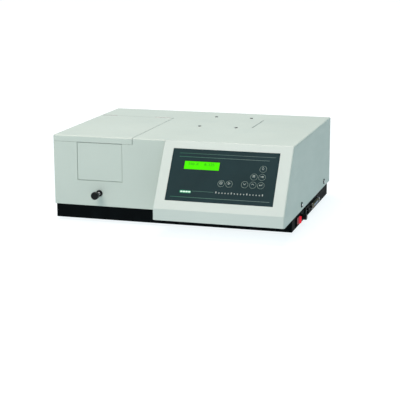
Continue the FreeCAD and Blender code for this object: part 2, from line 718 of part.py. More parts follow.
# ---- sample chamber and cell changer ------------------------------------------------------------------
def sample_chamber():
    w, e = CHAMBER_WALL, CHAMBER_END_WALL
    x0, x1 = CHAMBER_X
    y0, y1 = CHAMBER_Y
    z0, z1 = CHAMBER_Z
    outer = box(x0 - w, x1 + w, y0 - e, y1 + e, z0 - w, z1)
    cuts = [
        box(x0, x1, y0, y1, z0, z1 + 1),
        box(PLATE_X[0] + w, PLATE_X[1] - w, y0 - e - 1, y0 + 1, PLATE_Z[0] + w, z1 - w),
        cyl_y(ROD_HOLE_R, y0 - e - 1, y0 + 1, ROD_X, ROD_Z),
        cyl_x(BEAM_R + 1.05, x0 - w - 1, x1 + w + 1, BEAM_Y, BEAM_Z),
    ]
    return outer.cut(cuts)


def beam_windows():
    w = CHAMBER_WALL
    discs = []
    for x in (CHAMBER_X[0] - w / 2, CHAMBER_X[1] + w / 2):
        discs.append(cyl_x(BEAM_R + 1, x - 1, x + 1, BEAM_Y, BEAM_Z))
    return group(discs)


def carriage_rails():
    rails = []
    for side in (-1, 1):
        rails.append(cyl_y(RAIL_R, CHAMBER_Y[0], CHAMBER_Y[1], ROD_X + side * RAIL_DX, RAIL_Z))
    return group(rails)


def cell_carriage():
    front = BEAM_Y - CELL_PITCH / 2 - 2
    rear = BEAM_Y + (CELL_COUNT - 0.5) * CELL_PITCH + 2
    slider = box(ROD_X - 28, ROD_X + 28, front, rear, RAIL_Z - 5.5, RAIL_Z + 5.5)
    block = box(ROD_X - 11, ROD_X + 11, front, rear, RAIL_Z + 5.5, CARRIAGE_TOP)
    cuts = []
    half = CELL_WELL / 2
    for cell in range(CELL_COUNT):
        y = BEAM_Y + cell * CELL_PITCH
        cuts.append(
            box(ROD_X - half, ROD_X + half, y - half, y + half, CARRIAGE_TOP - WELL_DEPTH, CARRIAGE_TOP + 1)
        )
        cuts.append(box(ROD_X - 12, ROD_X + 12, y - 4, y + 4, BEAM_Z - 12, BEAM_Z + 12))
    for side in (-1, 1):
        cuts.append(cyl_y(RAIL_R + RUNNING, front - 1, rear + 1, ROD_X + side * RAIL_DX, RAIL_Z))
    return joined(slider, block).cut(cuts)


def pull_rod():
    return cyl_y(ROD_R, KNOB_FACE_Y + ROD_IN_KNOB, BEAM_Y - CELL_PITCH / 2 - 2, ROD_X, ROD_Z)


def rod_knob():
    back = KNOB_FACE_Y + KNOB_LENGTH
    knob = cyl_y(KNOB_R, KNOB_FACE_Y, back - 4, ROD_X, ROD_Z)
    knob = knob.makeFillet(2.0, [e for e in knob.Edges if e.BoundBox.YLength < 1e-6])
    neck = cyl_y(KNOB_NECK_R, back - 4.5, back, ROD_X, ROD_Z)
    knob = joined(knob, neck)
    return knob.cut(cyl_y(ROD_R, KNOB_FACE_Y + ROD_IN_KNOB, back + 1, ROD_X, ROD_Z))


def rod_bush():
    flange = cyl_y(BUSH_FLANGE_R, -BUSH_FLANGE_T, 0, ROD_X, ROD_Z)
    flange = flange.makeFillet(1.2, [e for e in flange.Edges if near(e.BoundBox.YMax, -BUSH_FLANGE_T)])
    sleeve = cyl_y(BUSH_R, 0, CHAMBER_Y[0], ROD_X, ROD_Z)
    bore = cyl_y(ROD_R + RUNNING, -BUSH_FLANGE_T - 1, CHAMBER_Y[0] + 1, ROD_X, ROD_Z)
    return joined(flange, sleeve).cut(bore)


def detector_box():
    x1 = CHAMBER_X[0] - CHAMBER_WALL
    x0 = x1 - 50
    body = box(x0, x1, BEAM_Y - 30, BEAM_Y + 30, BEAM_Z - 30, BEAM_Z + 40)
    hollow = box(x0 + 2, x1 - 2, BEAM_Y - 28, BEAM_Y + 28, BEAM_Z - 28, BEAM_Z + 38)
    return body.cut([hollow, cyl_x(BEAM_R, x1 - 3, x1 + 1, BEAM_Y, BEAM_Z)])


def photodiode():
    x = CHAMBER_X[0] - CHAMBER_WALL - 16
    can = cyl_x(7, x, x + 5, BEAM_Y, BEAM_Z)
    board = box(x - 1.6, x, BEAM_Y - 22, BEAM_Y + 22, BEAM_Z - 22, BEAM_Z + 30)
    return joined(can, board)


# ---- monochromator ------------------------------------------------------------------------------------
def mono_housing():
    w = MONO_WALL
    outer = box(*MONO_X, *MONO_Y, *MONO_Z)
    snout = cyl_x(12, CHAMBER_X[1] + CHAMBER_WALL, MONO_X[0] + 1, BEAM_Y, BEAM_Z)
    legs = [cyl_z(6, SHEET, MONO_Z[0] + 1, x, y) for x in (MONO_X[0] + 14, MONO_X[1] - 14)
            for y in (MONO_Y[0] + 14, MONO_Y[1] - 14)]
    cuts = [
        box(MONO_X[0] + w, MONO_X[1] - w, MONO_Y[0] + w, MONO_Y[1] - w, MONO_Z[0] + w, MONO_Z[1] + 1),
        cyl_x(BEAM_R, CHAMBER_X[1], MONO_X[0] + w + 1, BEAM_Y, BEAM_Z),
        cyl_y(BEAM_R, MONO_Y[1] - w - 1, MONO_Y[1] + 1, SLIT_X, BEAM_Z),
        cyl_z(SHAFT_R + RUNNING, MONO_Z[0] + 1, MONO_Z[0] + w + 1, GRATING_X, GRATING_Y),
    ]
    return joined(outer, snout, *legs).cut(cuts)


def mono_cover():
    return box(*MONO_X, *MONO_Y, MONO_Z[1], MONO_Z[1] + 4)


def slit_plates():
    """Entrance and exit slit: thin discs with a narrow slit."""
    exit_x = MONO_X[0] + MONO_WALL
    exit_plate = cyl_x(11, exit_x, exit_x + 1, BEAM_Y, BEAM_Z)
    exit_plate = exit_plate.cut(slab_x(exit_x - 1, exit_x + 2, SLIT_WIDTH, SLIT_HEIGHT, BEAM_Y, BEAM_Z))
    entry_y = MONO_Y[1] - MONO_WALL
    entry_plate = cyl_y(11, entry_y - 1, entry_y, SLIT_X, BEAM_Z)
    half, tall = SLIT_WIDTH / 2, SLIT_HEIGHT / 2
    slit = box(SLIT_X - half, SLIT_X + half, entry_y - 2, entry_y + 1, BEAM_Z - tall, BEAM_Z + tall)
    return group([exit_plate, entry_plate.cut(slit)])


def mono_mirrors():
    """Collimating and camera mirror on their stands at the front wall of the housing."""
    mirrors = []
    floor = MONO_Z[0] + MONO_WALL
    for x, turn in ((62.0, -8.0), (-52.0, 14.0)):
        glass = cyl_y(20, 38, 46, x, BEAM_Z)
        stand = box(x - 12, x + 12, 32, 38, floor, BEAM_Z + 14)
        mirror = joined(glass, stand)
        mirror.rotate(V(x, 38, 0), V(0, 0, 1), turn)
        mirrors.append(mirror)
    return group(mirrors)


def grating_table():
    """Turntable with its shaft, and the sine arm whose ball end the drive nut pushes."""
    floor = MONO_Z[0] + MONO_WALL
    shaft = cyl_z(SHAFT_R, floor - 4, ARM_Z + 3, GRATING_X, GRATING_Y)
    table = cyl_z(22, ARM_Z + 3, ARM_Z + 9, GRATING_X, GRATING_Y)
    hub = cyl_z(9, ARM_Z - 3, ARM_Z + 3, GRATING_X, GRATING_Y)
    arm = box(GRATING_X - 4, GRATING_X + 4, SCREW_Y, GRATING_Y, ARM_Z - 3, ARM_Z + 3)
    ball = Part.makeSphere(5, V(GRATING_X, SCREW_Y, ARM_Z))
    return joined(shaft, table, hub, arm, ball)


def grating():
    z0 = ARM_Z + 9
    return box(GRATING_X - 16, GRATING_X + 16, GRATING_Y, GRATING_Y + 8, z0, z0 + 32)


def lead_screw():
    thread = cyl_x(SCREW_R, -50, 72, SCREW_Y, SCREW_Z)
    coupling = cyl_x(7, 72, 84, SCREW_Y, SCREW_Z)
    collar = cyl_x(6, -54, -50, SCREW_Y, SCREW_Z)
    flat = box(70, 85, SCREW_Y - 8, SCREW_Y + 8, SCREW_Z + 6, SCREW_Z + 9)
    return joined(thread, coupling, collar).cut(flat)


def drive_nut():
    """Nut on the lead screw, guided by the housing floor, with the plate that pushes the sine arm."""
    floor = MONO_Z[0] + MONO_WALL
    block = box(GRATING_X - 8, GRATING_X + 12, SCREW_Y - 9, SCREW_Y + 9, floor + 0.3, SCREW_Z + 8)
    plate = box(GRATING_X + 5.8, GRATING_X + 9, SCREW_Y - 9, SCREW_Y + 11, SCREW_Z + 8, ARM_Z + 5)
    bore = cyl_x(SCREW_R + RUNNING, GRATING_X - 9, GRATING_X + 13, SCREW_Y, SCREW_Z)
    return joined(block, plate).cut(bore)


def wavelength_motor():
    body = box(88, 126, SCREW_Y - 21, SCREW_Y + 21, MONO_Z[0] + MONO_WALL, MONO_Z[0] + MONO_WALL + 42)
    boss = cyl_x(8, 85, 88, SCREW_Y, SCREW_Z)
    return joined(body, boss)


def filter_wheel():
    disc = cyl_y(WHEEL_R, WHEEL_Y, WHEEL_Y + 3, WHEEL_X, BEAM_Z)
    hub = cyl_y(6, WHEEL_Y - 6, WHEEL_Y, WHEEL_X, BEAM_Z)
    holes = []
    for place in range(6):
        angle = math.radians(60 * place)
        x = WHEEL_X - WHEEL_HOLE_R * math.cos(angle)
        z = BEAM_Z + WHEEL_HOLE_R * math.sin(angle)
        holes.append(cyl_y(5.5, WHEEL_Y - 1, WHEEL_Y + 4, x, z))
    return joined(disc, hub).cut(holes)


def small_motors():
    """The two small stepping motors: one behind the filter wheel, one under the source mirror."""
    x, y = SOURCE_MIRROR
    wheel_motor = cyl_y(SMALL_MOTOR_R, WHEEL_Y - 24, WHEEL_Y - 6.5, WHEEL_X, BEAM_Z)
    wheel_foot = box(WHEEL_X - 8, WHEEL_X + 8, WHEEL_Y - 24, WHEEL_Y - 10, MONO_Z[0] + MONO_WALL, BEAM_Z)
    mirror_motor = cyl_z(SMALL_MOTOR_R, LAMP_SEAT, 60, x, y)
    return group([joined(wheel_motor, wheel_foot), mirror_motor])


# ---- lamps --------------------------------------------------------------------------------------------
def lamp_house():
    """Open-topped box hung under the top plate by four tabs, with the beam port towards the optics."""
    t = LAMP_WALL
    x0, x1 = LAMP_X
    y0, y1 = LAMP_Y
    top = CASE_HEIGHT - SHEET
    shell = box(x0, x1, y0, y1, LAMP_FLOOR, top).cut(box(x0 + t, x1 - t, y0 + t, y1 - t, LAMP_SEAT, top + 1))
    tabs = []
    for x in TOP_SCREW_X:
        for y in TOP_SCREW_Y:
            inner = y0 + t if y < (y0 + y1) / 2 else y1 - t
            tabs.append(box(max(x - 8, x0), x + 8, min(inner, y - 7), max(inner, y + 7), top - 3, top))
    cuts = [cyl_y(BEAM_R, y0 - 1, y0 + t + 1, SLIT_X, BEAM_Z)]
    cuts += [cyl_z(1.9, top - 8, top + 1, x, y) for x in TOP_SCREW_X for y in TOP_SCREW_Y]
    cuts += [box(x, x + 4, y1 - t - 1, y1 + 1, 80, 130) for x in range(40, 121, 10)]
    return joined(shell, *tabs).cut(cuts)


def deuterium_lamp():
    x, y = DEUTERIUM_AT
    envelope = cyl_z(14, 72, 118, x, y)
    envelope = envelope.makeFillet(9, [e for e in envelope.Edges if near(e.BoundBox.ZMin, 118)])
    port = cyl_y(7, y - 24, y, x, BEAM_Z)
    base = cyl_z(18, LAMP_SEAT, 72, x, y)
    return joined(base, envelope, port)


def tungsten_lamp():
    x, y = TUNGSTEN_AT
    bulb = cyl_z(6, 78, 100, x, y)
    bulb = bulb.makeFillet(4, [e for e in bulb.Edges if near(e.BoundBox.ZMin, 100)])
    socket = box(x - 12, x + 12, y - 9, y + 9, LAMP_SEAT, 78)
    return joined(socket, bulb)


def source_mirror():
    x, y = SOURCE_MIRROR
    shaft = cyl_z(2.5, 60.2, 76, x, y)
    holder = cyl_z(9, 72, 76, x, y)
    glass = box(x - 14, x + 14, y - 2, y + 2, 76, 104)
    mirror = joined(shaft, holder, glass)
    mirror.rotate(V(x, y, 0), V(0, 0, 1), -25)
    return mirror


# ---- electronics and cooling --------------------------------------------------------------------------
def main_board():
    """Board on four spacers, with its processor, two memories, a connector and a relay."""
    top = MAIN_BOARD_Z + BOARD_T
    board = box(*MAIN_BOARD, MAIN_BOARD_Z, top)
    chips = [
        box(170, 206, 60, 96, top, 53),
        box(222, 258, 60, 70, top, 54),
        box(222, 258, 80, 90, top, 54),
        box(170, 190, 120, 170, top, 60),
        box(240, 290, 150, 160, top, 58),
    ]
    posts = [cyl_z(SPACER_R, SHEET, MAIN_BOARD_Z, x, y) for x in (158, 280) for y in (26, 190)]
    return joined(board, *(chips + posts))


def power_board():
    """Board on four spacers, with a finned heat sink and three capacitors."""
    top = POWER_BOARD_Z + BOARD_T
    board = box(*POWER_BOARD, POWER_BOARD_Z, top)
    heat_sink = box(180, 292, 272, 276, top, 72)
    fins = [box(182 + 12 * i, 185 + 12 * i, 276, 290, top, 72) for i in range(10)]
    cans = [cyl_z(9, top, 62, x, 235) for x in (192, 216, 240)]
    posts = [cyl_z(SPACER_R, SHEET, POWER_BOARD_Z, x, y) for x in (177, 295) for y in (217, 266)]
    return joined(board, heat_sink, *(fins + cans + posts))


def transformer():
    core = box(195, 275, 330, 400, SHEET, 68)
    coil = box(205, 265, 318, 412, 14, 56)
    coil = round_edges(coil, 8.0, lambda a, b: near(a.x, b.x) and near(a.y, b.y))
    return joined(core, coil)


def fan_frame():
    half = FAN_SIZE / 2
    y0, y1 = FAN_REAR - FAN_DEPTH, FAN_REAR
    frame = box(FAN_X - half, FAN_X + half, y0, y1, FAN_Z - half, FAN_Z + half)
    frame = round_edges(frame, 5.0, lambda a, b: near(a.x, b.x) and near(a.z, b.z))
    frame = frame.cut(cyl_y(FAN_BORE_R, y0 - 1, y1 + 1, FAN_X, FAN_Z))
    motor = cyl_y(16, y0, y0 + 3, FAN_X, FAN_Z)
    spokes = [box(FAN_X - FAN_BORE_R - 1, FAN_X + FAN_BORE_R + 1, y0, y0 + 3, FAN_Z - 2, FAN_Z + 2),
              box(FAN_X - 2, FAN_X + 2, y0, y0 + 3, FAN_Z - FAN_BORE_R - 1, FAN_Z + FAN_BORE_R + 1)]
    return joined(frame, motor, *spokes)


def fan_rotor():
    """Hub with pitched blades, clear of the frame's spokes and bore."""
    y0, y1 = FAN_REAR - FAN_DEPTH + 4, FAN_REAR - 1
    hub = cyl_y(16, y0, y1, FAN_X, FAN_Z)
    keep = cyl_y(FAN_ROTOR_R, y0, y1, FAN_X, FAN_Z)
    blades = []
    middle = (y0 + y1) / 2
    for number in range(FAN_BLADES):
        blade = box(14, FAN_ROTOR_R + 2, -12, 12, -0.8, 0.8)
        blade.rotate(V(0, 0, 0), V(1, 0, 0), 48)
        blade.rotate(V(0, 0, 0), V(0, 1, 0), 360 / FAN_BLADES * number)
        blade.translate(V(FAN_X, middle, FAN_Z))
        blades.append(blade.common(keep))
    return joined(hub, *blades)


# ---- all nodes ----------------------------------------------------------------------------------------
NODES = {
    "base_tray": base_tray,
    "rubber_feet": rubber_feet,
    "upper_case": upper_case,
    "control_bezel": control_bezel,
    "membrane_overlay": membrane_overlay,
    "lcd_screen": lcd_screen,
    "lcd_board": lcd_board,
    "keypad_board": keypad_board,
    "front_access_plate": front_access_plate,
    "compartment_deck": compartment_deck,
    "sample_chamber": sample_chamber,
    "beam_windows": beam_windows,
    "rod_bush": rod_bush,
    "carriage_rails": carriage_rails,
    "mono_housing": mono_housing,
    "mono_cover": mono_cover,
    "slit_plates": slit_plates,
    "mono_mirrors": mono_mirrors,
    "wavelength_motor": wavelength_motor,
    "small_motors": small_motors,
    "lamp_house": lamp_house,
    "deuterium_lamp": deuterium_lamp,
    "tungsten_lamp": tungsten_lamp,
    "detector_box": detector_box,
    "photodiode": photodiode,
    "main_board": main_board,
    "power_board": power_board,
    "transformer": transformer,
    "fan_frame": fan_frame,
    "power_switch_body": power_switch_body,
    "fuse_holder": fuse_holder,
    "power_inlet": power_inlet,
    "inlet_pins": inlet_pins,
    "printer_port": printer_port,
    "case_screws": case_screws,
    "top_screws": top_screws,
    "hinge_leaves": hinge_leaves,
    "hinge_pins": hinge_pins,
    "sample_lid": sample_lid,
    "lid_seal": lid_seal,
    "lid_hinge_leaves": lid_hinge_leaves,
    "cell_carriage": cell_carriage,
    "pull_rod": pull_rod,
    "rod_knob": rod_knob,
    "power_rocker": power_rocker,
    "fan_rotor": fan_rotor,
    "grating_table": grating_table,
    "grating": grating,
    "lead_screw": lead_screw,
    "drive_nut": drive_nut,
    "filter_wheel": filter_wheel,
    "source_mirror": source_mirror,
}


def export(name, shape):
    shape = shape.copy()
    shape.translate(ORIGIN_SHIFT)
    bad = [s for s in shape.Solids if not s.isValid() or s.Volume <= 0]
    if bad or not shape.Solids:
        print("BAD", name, len(shape.Solids), "solids")
    shape.exportStep(os.path.join(PARTS, name + ".step"))


def main():
    os.makedirs(PARTS, exist_ok=True)
    for name, build in NODES.items():
        export(name, build())
    for name, (u, s) in KEYS.items():
        export(name, key_cap(u, s))
    print(len(NODES) + len(KEYS), "nodes")


main()
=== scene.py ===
"""Looks of the bench-top spectrophotometer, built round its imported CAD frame, in metres."""

import bmesh
import bpy
import json
import math
from mathutils import Matrix, Vector


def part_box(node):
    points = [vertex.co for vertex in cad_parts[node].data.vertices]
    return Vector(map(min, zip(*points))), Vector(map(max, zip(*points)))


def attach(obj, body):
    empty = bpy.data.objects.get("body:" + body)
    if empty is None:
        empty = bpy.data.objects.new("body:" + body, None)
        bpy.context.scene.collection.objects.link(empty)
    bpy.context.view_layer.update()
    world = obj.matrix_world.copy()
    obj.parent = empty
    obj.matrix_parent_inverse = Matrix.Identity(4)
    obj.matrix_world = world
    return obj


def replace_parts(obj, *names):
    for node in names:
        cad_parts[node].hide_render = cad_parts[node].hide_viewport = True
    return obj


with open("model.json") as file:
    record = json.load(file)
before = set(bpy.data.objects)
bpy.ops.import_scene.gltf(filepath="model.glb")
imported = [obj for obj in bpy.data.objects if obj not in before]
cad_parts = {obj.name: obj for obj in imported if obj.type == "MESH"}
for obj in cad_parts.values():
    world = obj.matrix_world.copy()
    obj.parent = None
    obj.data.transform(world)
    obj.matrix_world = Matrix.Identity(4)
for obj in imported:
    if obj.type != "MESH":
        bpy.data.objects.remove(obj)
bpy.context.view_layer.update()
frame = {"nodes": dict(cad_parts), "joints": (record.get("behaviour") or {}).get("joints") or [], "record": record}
NODES = frame["nodes"]
JOINTS = {joint["name"]: joint for joint in frame["joints"]}
MM = 0.001
X, Y, Z = Vector((1, 0, 0)), Vector((0, 1, 0)), Vector((0, 0, 1))


# ---- material helpers -----------------------------------------------------------------------------------
class Graph:
    """A node material with one Principled shader, and short names for the nodes it is built from."""

    def __init__(self, name, **values):
        self.material = bpy.data.materials.new(name)
        self.material.use_nodes = True
        self.tree = self.material.node_tree
        self.shader = self.tree.nodes["Principled BSDF"]
        self.coords = self.tree.nodes.new("ShaderNodeTexCoord").outputs["Object"]
        for socket, value in values.items():
            self.shader.inputs[socket.replace("_", " ")].default_value = value

    def link(self, source, target):
        self.tree.links.new(source, self.shader.inputs[target] if isinstance(target, str) else target)

    def noise(self, scale, detail=3.0, stretch=(1, 1, 1), roughness=0.55):
        """Noise over the surface; scale is in features per metre, and a larger stretch packs them closer."""
        mapping = self.tree.nodes.new("ShaderNodeMapping")
        mapping.inputs["Scale"].default_value = stretch
        self.tree.links.new(self.coords, mapping.inputs["Vector"])
        node = self.tree.nodes.new("ShaderNodeTexNoise")
        node.inputs["Scale"].default_value = scale
        node.inputs["Detail"].default_value = detail
        node.inputs["Roughness"].default_value = roughness
        self.tree.links.new(mapping.outputs[0], node.inputs["Vector"])
        return node.outputs["Fac"]

    def along(self, axis):
        """Position along X, Y or Z in metres, as a value."""
        node = self.tree.nodes.new("ShaderNodeSeparateXYZ")
        self.tree.links.new(self.coords, node.inputs[0])
        return node.outputs[axis]

    def spread(self, value, low, high, start=0.3, end=0.7):
        """Maps a texture value from start..end to low..high."""
        node = self.tree.nodes.new("ShaderNodeMapRange")
        node.inputs["From Min"].default_value = start
        node.inputs["From Max"].default_value = end
        node.inputs["To Min"].default_value = low
        node.inputs["To Max"].default_value = high
        self.tree.links.new(value, node.inputs["Value"])
        return node.outputs["Result"]

    def blend_colours(self, factor, first, second):
        """Each colour is a tuple or another node's output."""
        node = self.tree.nodes.new("ShaderNodeMix")
        node.data_type = "RGBA"
        self.tree.links.new(factor, node.inputs["Factor"])
        for socket, colour in (("A", first), ("B", second)):
            target = [i for i in node.inputs if i.name == socket and i.type == "RGBA"][0]
            if isinstance(colour, tuple):
                target.default_value = (*colour, 1.0)
            else:
                self.tree.links.new(colour, target)
        return [o for o in node.outputs if o.type == "RGBA"][0]

    def multiply(self, first, second):
        node = self.tree.nodes.new("ShaderNodeMath")
        node.operation = "MULTIPLY"
        self.tree.links.new(first, node.inputs[0])
        self.tree.links.new(second, node.inputs[1])
        return node.outputs[0]

    def bump(self, height, depth, strength=1.0):
        """Surface relief; depth is in metres."""
        node = self.tree.nodes.new("ShaderNodeBump")
        node.inputs["Strength"].default_value = strength
        node.inputs["Distance"].default_value = depth
        self.tree.links.new(height, node.inputs["Height"])
        previous = self.shader.inputs["Normal"]
        if previous.is_linked:
            self.tree.links.new(previous.links[0].from_socket, node.inputs["Normal"])
        self.tree.links.new(node.outputs["Normal"], self.shader.inputs["Normal"])


def shade(colour, factor):
    return tuple(min(1.0, c * factor) for c in colour)


# ---- materials ------------------------------------------------------------------------------------------
def powder_coat(name, colour, gloss=0.16, grain=950.0, depth=0.00005, roughness=(0.42, 0.56), soil=0.9):
    """Baked paint: fine orange peel, a slightly uneven tone, rubbed streaks and soil towards the bottom."""
    g = Graph(name, Specular_IOR_Level=gloss)
    patches = g.spread(g.noise(5.0, 4.0), 0.0, 1.0)
    tone = g.blend_colours(patches, shade(colour, 0.97), shade(colour, 1.02))
    fleck = g.spread(g.noise(2600.0, 2.0), 0.0, 1.0, 0.62, 0.74)
    tone = g.blend_colours(fleck, tone, shade(colour, 0.88))
    low_down = g.spread(g.along("Z"), 1.0, 0.0, 0.0, 0.075)
    dabs = g.spread(g.noise(26.0, 6.0, stretch=(1.0, 1.0, 0.4)), 0.0, 1.0, 0.45, 0.75)
    smudges = g.multiply(low_down, dabs)
    g.link(g.blend_colours(smudges, tone, shade(colour, soil)), "Base Color")
    streaks = g.noise(60.0, 5.0, stretch=(0.25, 0.25, 1.0))
    g.link(g.spread(streaks, *roughness), "Roughness")
    g.bump(g.noise(grain, 2.0), depth, 0.55)
    return g.material


def moulded_plastic(name, colour, gloss=0.2, grain=1700.0, depth=0.00003, roughness=(0.34, 0.5), fleck=0.93):
    """Injection moulding with a spark-eroded grain and faint flow shading."""
    g = Graph(name, Specular_IOR_Level=gloss)
    flow = g.spread(g.noise(9.0, 3.0, stretch=(1.0, 1.0, 0.35)), 0.0, 1.0)
    tone = g.blend_colours(flow, shade(colour, 0.975), shade(colour, 1.015))
    specks = g.spread(g.noise(3400.0, 1.0), 0.0, 1.0, 0.64, 0.72)
    g.link(g.blend_colours(specks, tone, shade(colour, fleck)), "Base Color")
    g.link(g.spread(g.noise(60.0, 4.0), *roughness), "Roughness")
    g.bump(g.noise(grain, 2.0), depth, 0.5)
    return g.material


def printed_film(name, colour):
    """Polyester overlay: velvet texture over a dark printed back."""
    g = Graph(name, Specular_IOR_Level=0.08)
    tone = g.blend_colours(g.spread(g.noise(14.0, 4.0), 0.0, 1.0), shade(colour, 0.9), shade(colour, 1.08))
    g.link(tone, "Base Color")
    g.link(g.spread(g.noise(120.0, 4.0), 0.46, 0.6), "Roughness")
    g.bump(g.noise(4200.0, 2.0), 0.000012, 0.6)
    return g.material


def ink(name, colour, left_colour=None):
    """Screen-printed ink, thin in places; left_colour is what a rule fades from at the panel's left."""
    g = Graph(name, Roughness=0.55, Specular_IOR_Level=0.15)
    wear = g.spread(g.noise(900.0, 4.0), 0.0, 1.0, 0.35, 0.6)
    tone = g.blend_colours(wear, shade(colour, 0.8), colour)
    if left_colour:
        tone = g.blend_colours(g.spread(g.along("X"), 0.0, 1.0, 0.02, 0.2), left_colour, tone)
    g.link(tone, "Base Color")
    return g.material


def backlit_screen(name, colour):
    """Back-lit display: light from a strip behind, a little uneven, with the lattice of its cells."""
    g = Graph(name, Roughness=0.3, Specular_IOR_Level=0.02, Emission_Strength=0.95)
    glow = g.spread(g.noise(22.0, 2.0), 0.0, 1.0)
    lattice = g.spread(g.noise(1200.0, 0.0, stretch=(1.0, 0.2, 0.2)), 0.0, 1.0, 0.5, 0.6)
    lit = g.blend_colours(glow, shade(colour, 0.93), colour)
    g.link(g.blend_colours(lattice, lit, shade(colour, 0.95)), "Emission Color")
    g.link(g.blend_colours(glow, (0.004, 0.05, 0.0), (0.006, 0.07, 0.0)), "Base Color")
    return g.material


def plated_metal(name, colour, stretch=(1.0, 1.0, 1.0), roughness=(0.2, 0.38)):
    """Zinc or nickel plate with fine drawn scratches along one direction."""
    g = Graph(name, Metallic=1.0)
    scratches = g.noise(900.0, 4.0, stretch=stretch)
    g.link(g.blend_colours(g.spread(scratches, 0.0, 1.0), shade(colour, 0.82), colour), "Base Color")
    g.link(g.spread(g.noise(160.0, 5.0, stretch=stretch), *roughness), "Roughness")
    g.bump(scratches, 0.00001, 0.5)
    return g.material


def turned_metal(name, colour, roughness=(0.22, 0.34)):
    return plated_metal(name, colour, stretch=(1.0, 9.0, 1.0), roughness=roughness)


def anodised(name, colour):
    g = Graph(name, Metallic=0.55, Specular_IOR_Level=0.35)
    grain = g.noise(1500.0, 3.0, stretch=(1.0, 0.3, 1.0))
    g.link(g.blend_colours(g.spread(grain, 0.0, 1.0), shade(colour, 0.7), shade(colour, 1.3)), "Base Color")
    g.link(g.spread(g.noise(70.0, 4.0), 0.5, 0.68), "Roughness")
    g.bump(grain, 0.00002, 0.5)
    return g.material


def rubber(name, colour):
    g = Graph(name, Specular_IOR_Level=0.3)
    dust = g.spread(g.noise(90.0, 6.0), 0.0, 1.0, 0.5, 0.75)
    g.link(g.blend_colours(dust, colour, shade(colour, 2.6)), "Base Color")
    g.link(g.spread(g.noise(200.0, 3.0), 0.62, 0.82), "Roughness")
    g.bump(g.noise(1300.0, 4.0), 0.00006, 0.6)
    return g.material


def tinted_plastic(name, colour, painted_light_from, painted_light_to):
    """Glossy dyed plastic with painted light: its emission grows along Y between the two given distances, painted
    light on the rocker's raised rear half and painted shade on its pressed front half; there is no lamp inside.
    """
    g = Graph(name, Roughness=0.3, Specular_IOR_Level=0.1, Subsurface_Weight=0.15, Emission_Strength=1.0)
    # painted light: the glow is almost nothing at the front (painted shade on the pressed half) and strong at the
    # rear (painted highlight on the raised half)
    painted_light = g.spread(g.along("Y"), 0.0, 1.0, painted_light_from, painted_light_to)
    g.link(g.blend_colours(painted_light, shade(colour, 0.03), shade(colour, 0.85)), "Emission Color")
    g.shader.inputs["Subsurface Radius"].default_value = (0.004, 0.0006, 0.0006)
    g.shader.inputs["Subsurface Scale"].default_value = 0.5
    cloud = g.spread(g.noise(70.0, 3.0), 0.0, 1.0)
    g.link(g.blend_colours(cloud, shade(colour, 0.26), shade(colour, 0.32)), "Base Color")
    g.bump(g.noise(700.0, 2.0), 0.00001, 0.4)
    return g.material


def clear_quartz(name):
    g = Graph(name, Roughness=0.03, IOR=1.458, Transmission_Weight=1.0)
    g.link(g.blend_colours(g.spread(g.noise(60.0, 3.0), 0.0, 1.0), (0.93, 0.96, 0.97), (1.0, 1.0, 1.0)),
           "Base Color")
    return g.material


def mirror_coat(name):
    g = Graph(name, Metallic=1.0)
    haze = g.spread(g.noise(140.0, 5.0), 0.0, 1.0)
    g.link(g.blend_colours(haze, (0.86, 0.87, 0.88), (0.93, 0.93, 0.94)), "Base Color")
    g.link(g.spread(haze, 0.03, 0.1, 0.0, 1.0), "Roughness")
    return g.material


def circuit_board(name):
    """Green solder mask, with the copper tracks under it as lighter lanes."""
    g = Graph(name, Specular_IOR_Level=0.6)
    lanes = g.spread(g.noise(260.0, 1.0, stretch=(1.0, 6.0, 1.0)), 0.0, 1.0, 0.5, 0.54)
    g.link(g.blend_colours(lanes, (0.012, 0.11, 0.045), (0.03, 0.2, 0.08)), "Base Color")
    g.link(g.spread(lanes, 0.28, 0.42, 0.0, 1.0), "Roughness")
    g.bump(lanes, 0.00003, 0.7)
    return g.material


def iron_core(name):
    """Varnished laminations stacked across the core."""
    g = Graph(name, Metallic=0.4)
    sheets = g.noise(420.0, 2.0, stretch=(0.05, 1.0, 0.05))
    stack = g.spread(sheets, 0.0, 1.0)
    g.link(g.blend_colours(stack, (0.06, 0.05, 0.045), (0.16, 0.13, 0.11)), "Base Color")
    g.link(g.spread(sheets, 0.4, 0.6), "Roughness")
    g.bump(sheets, 0.0002, 0.6)
    return g.material


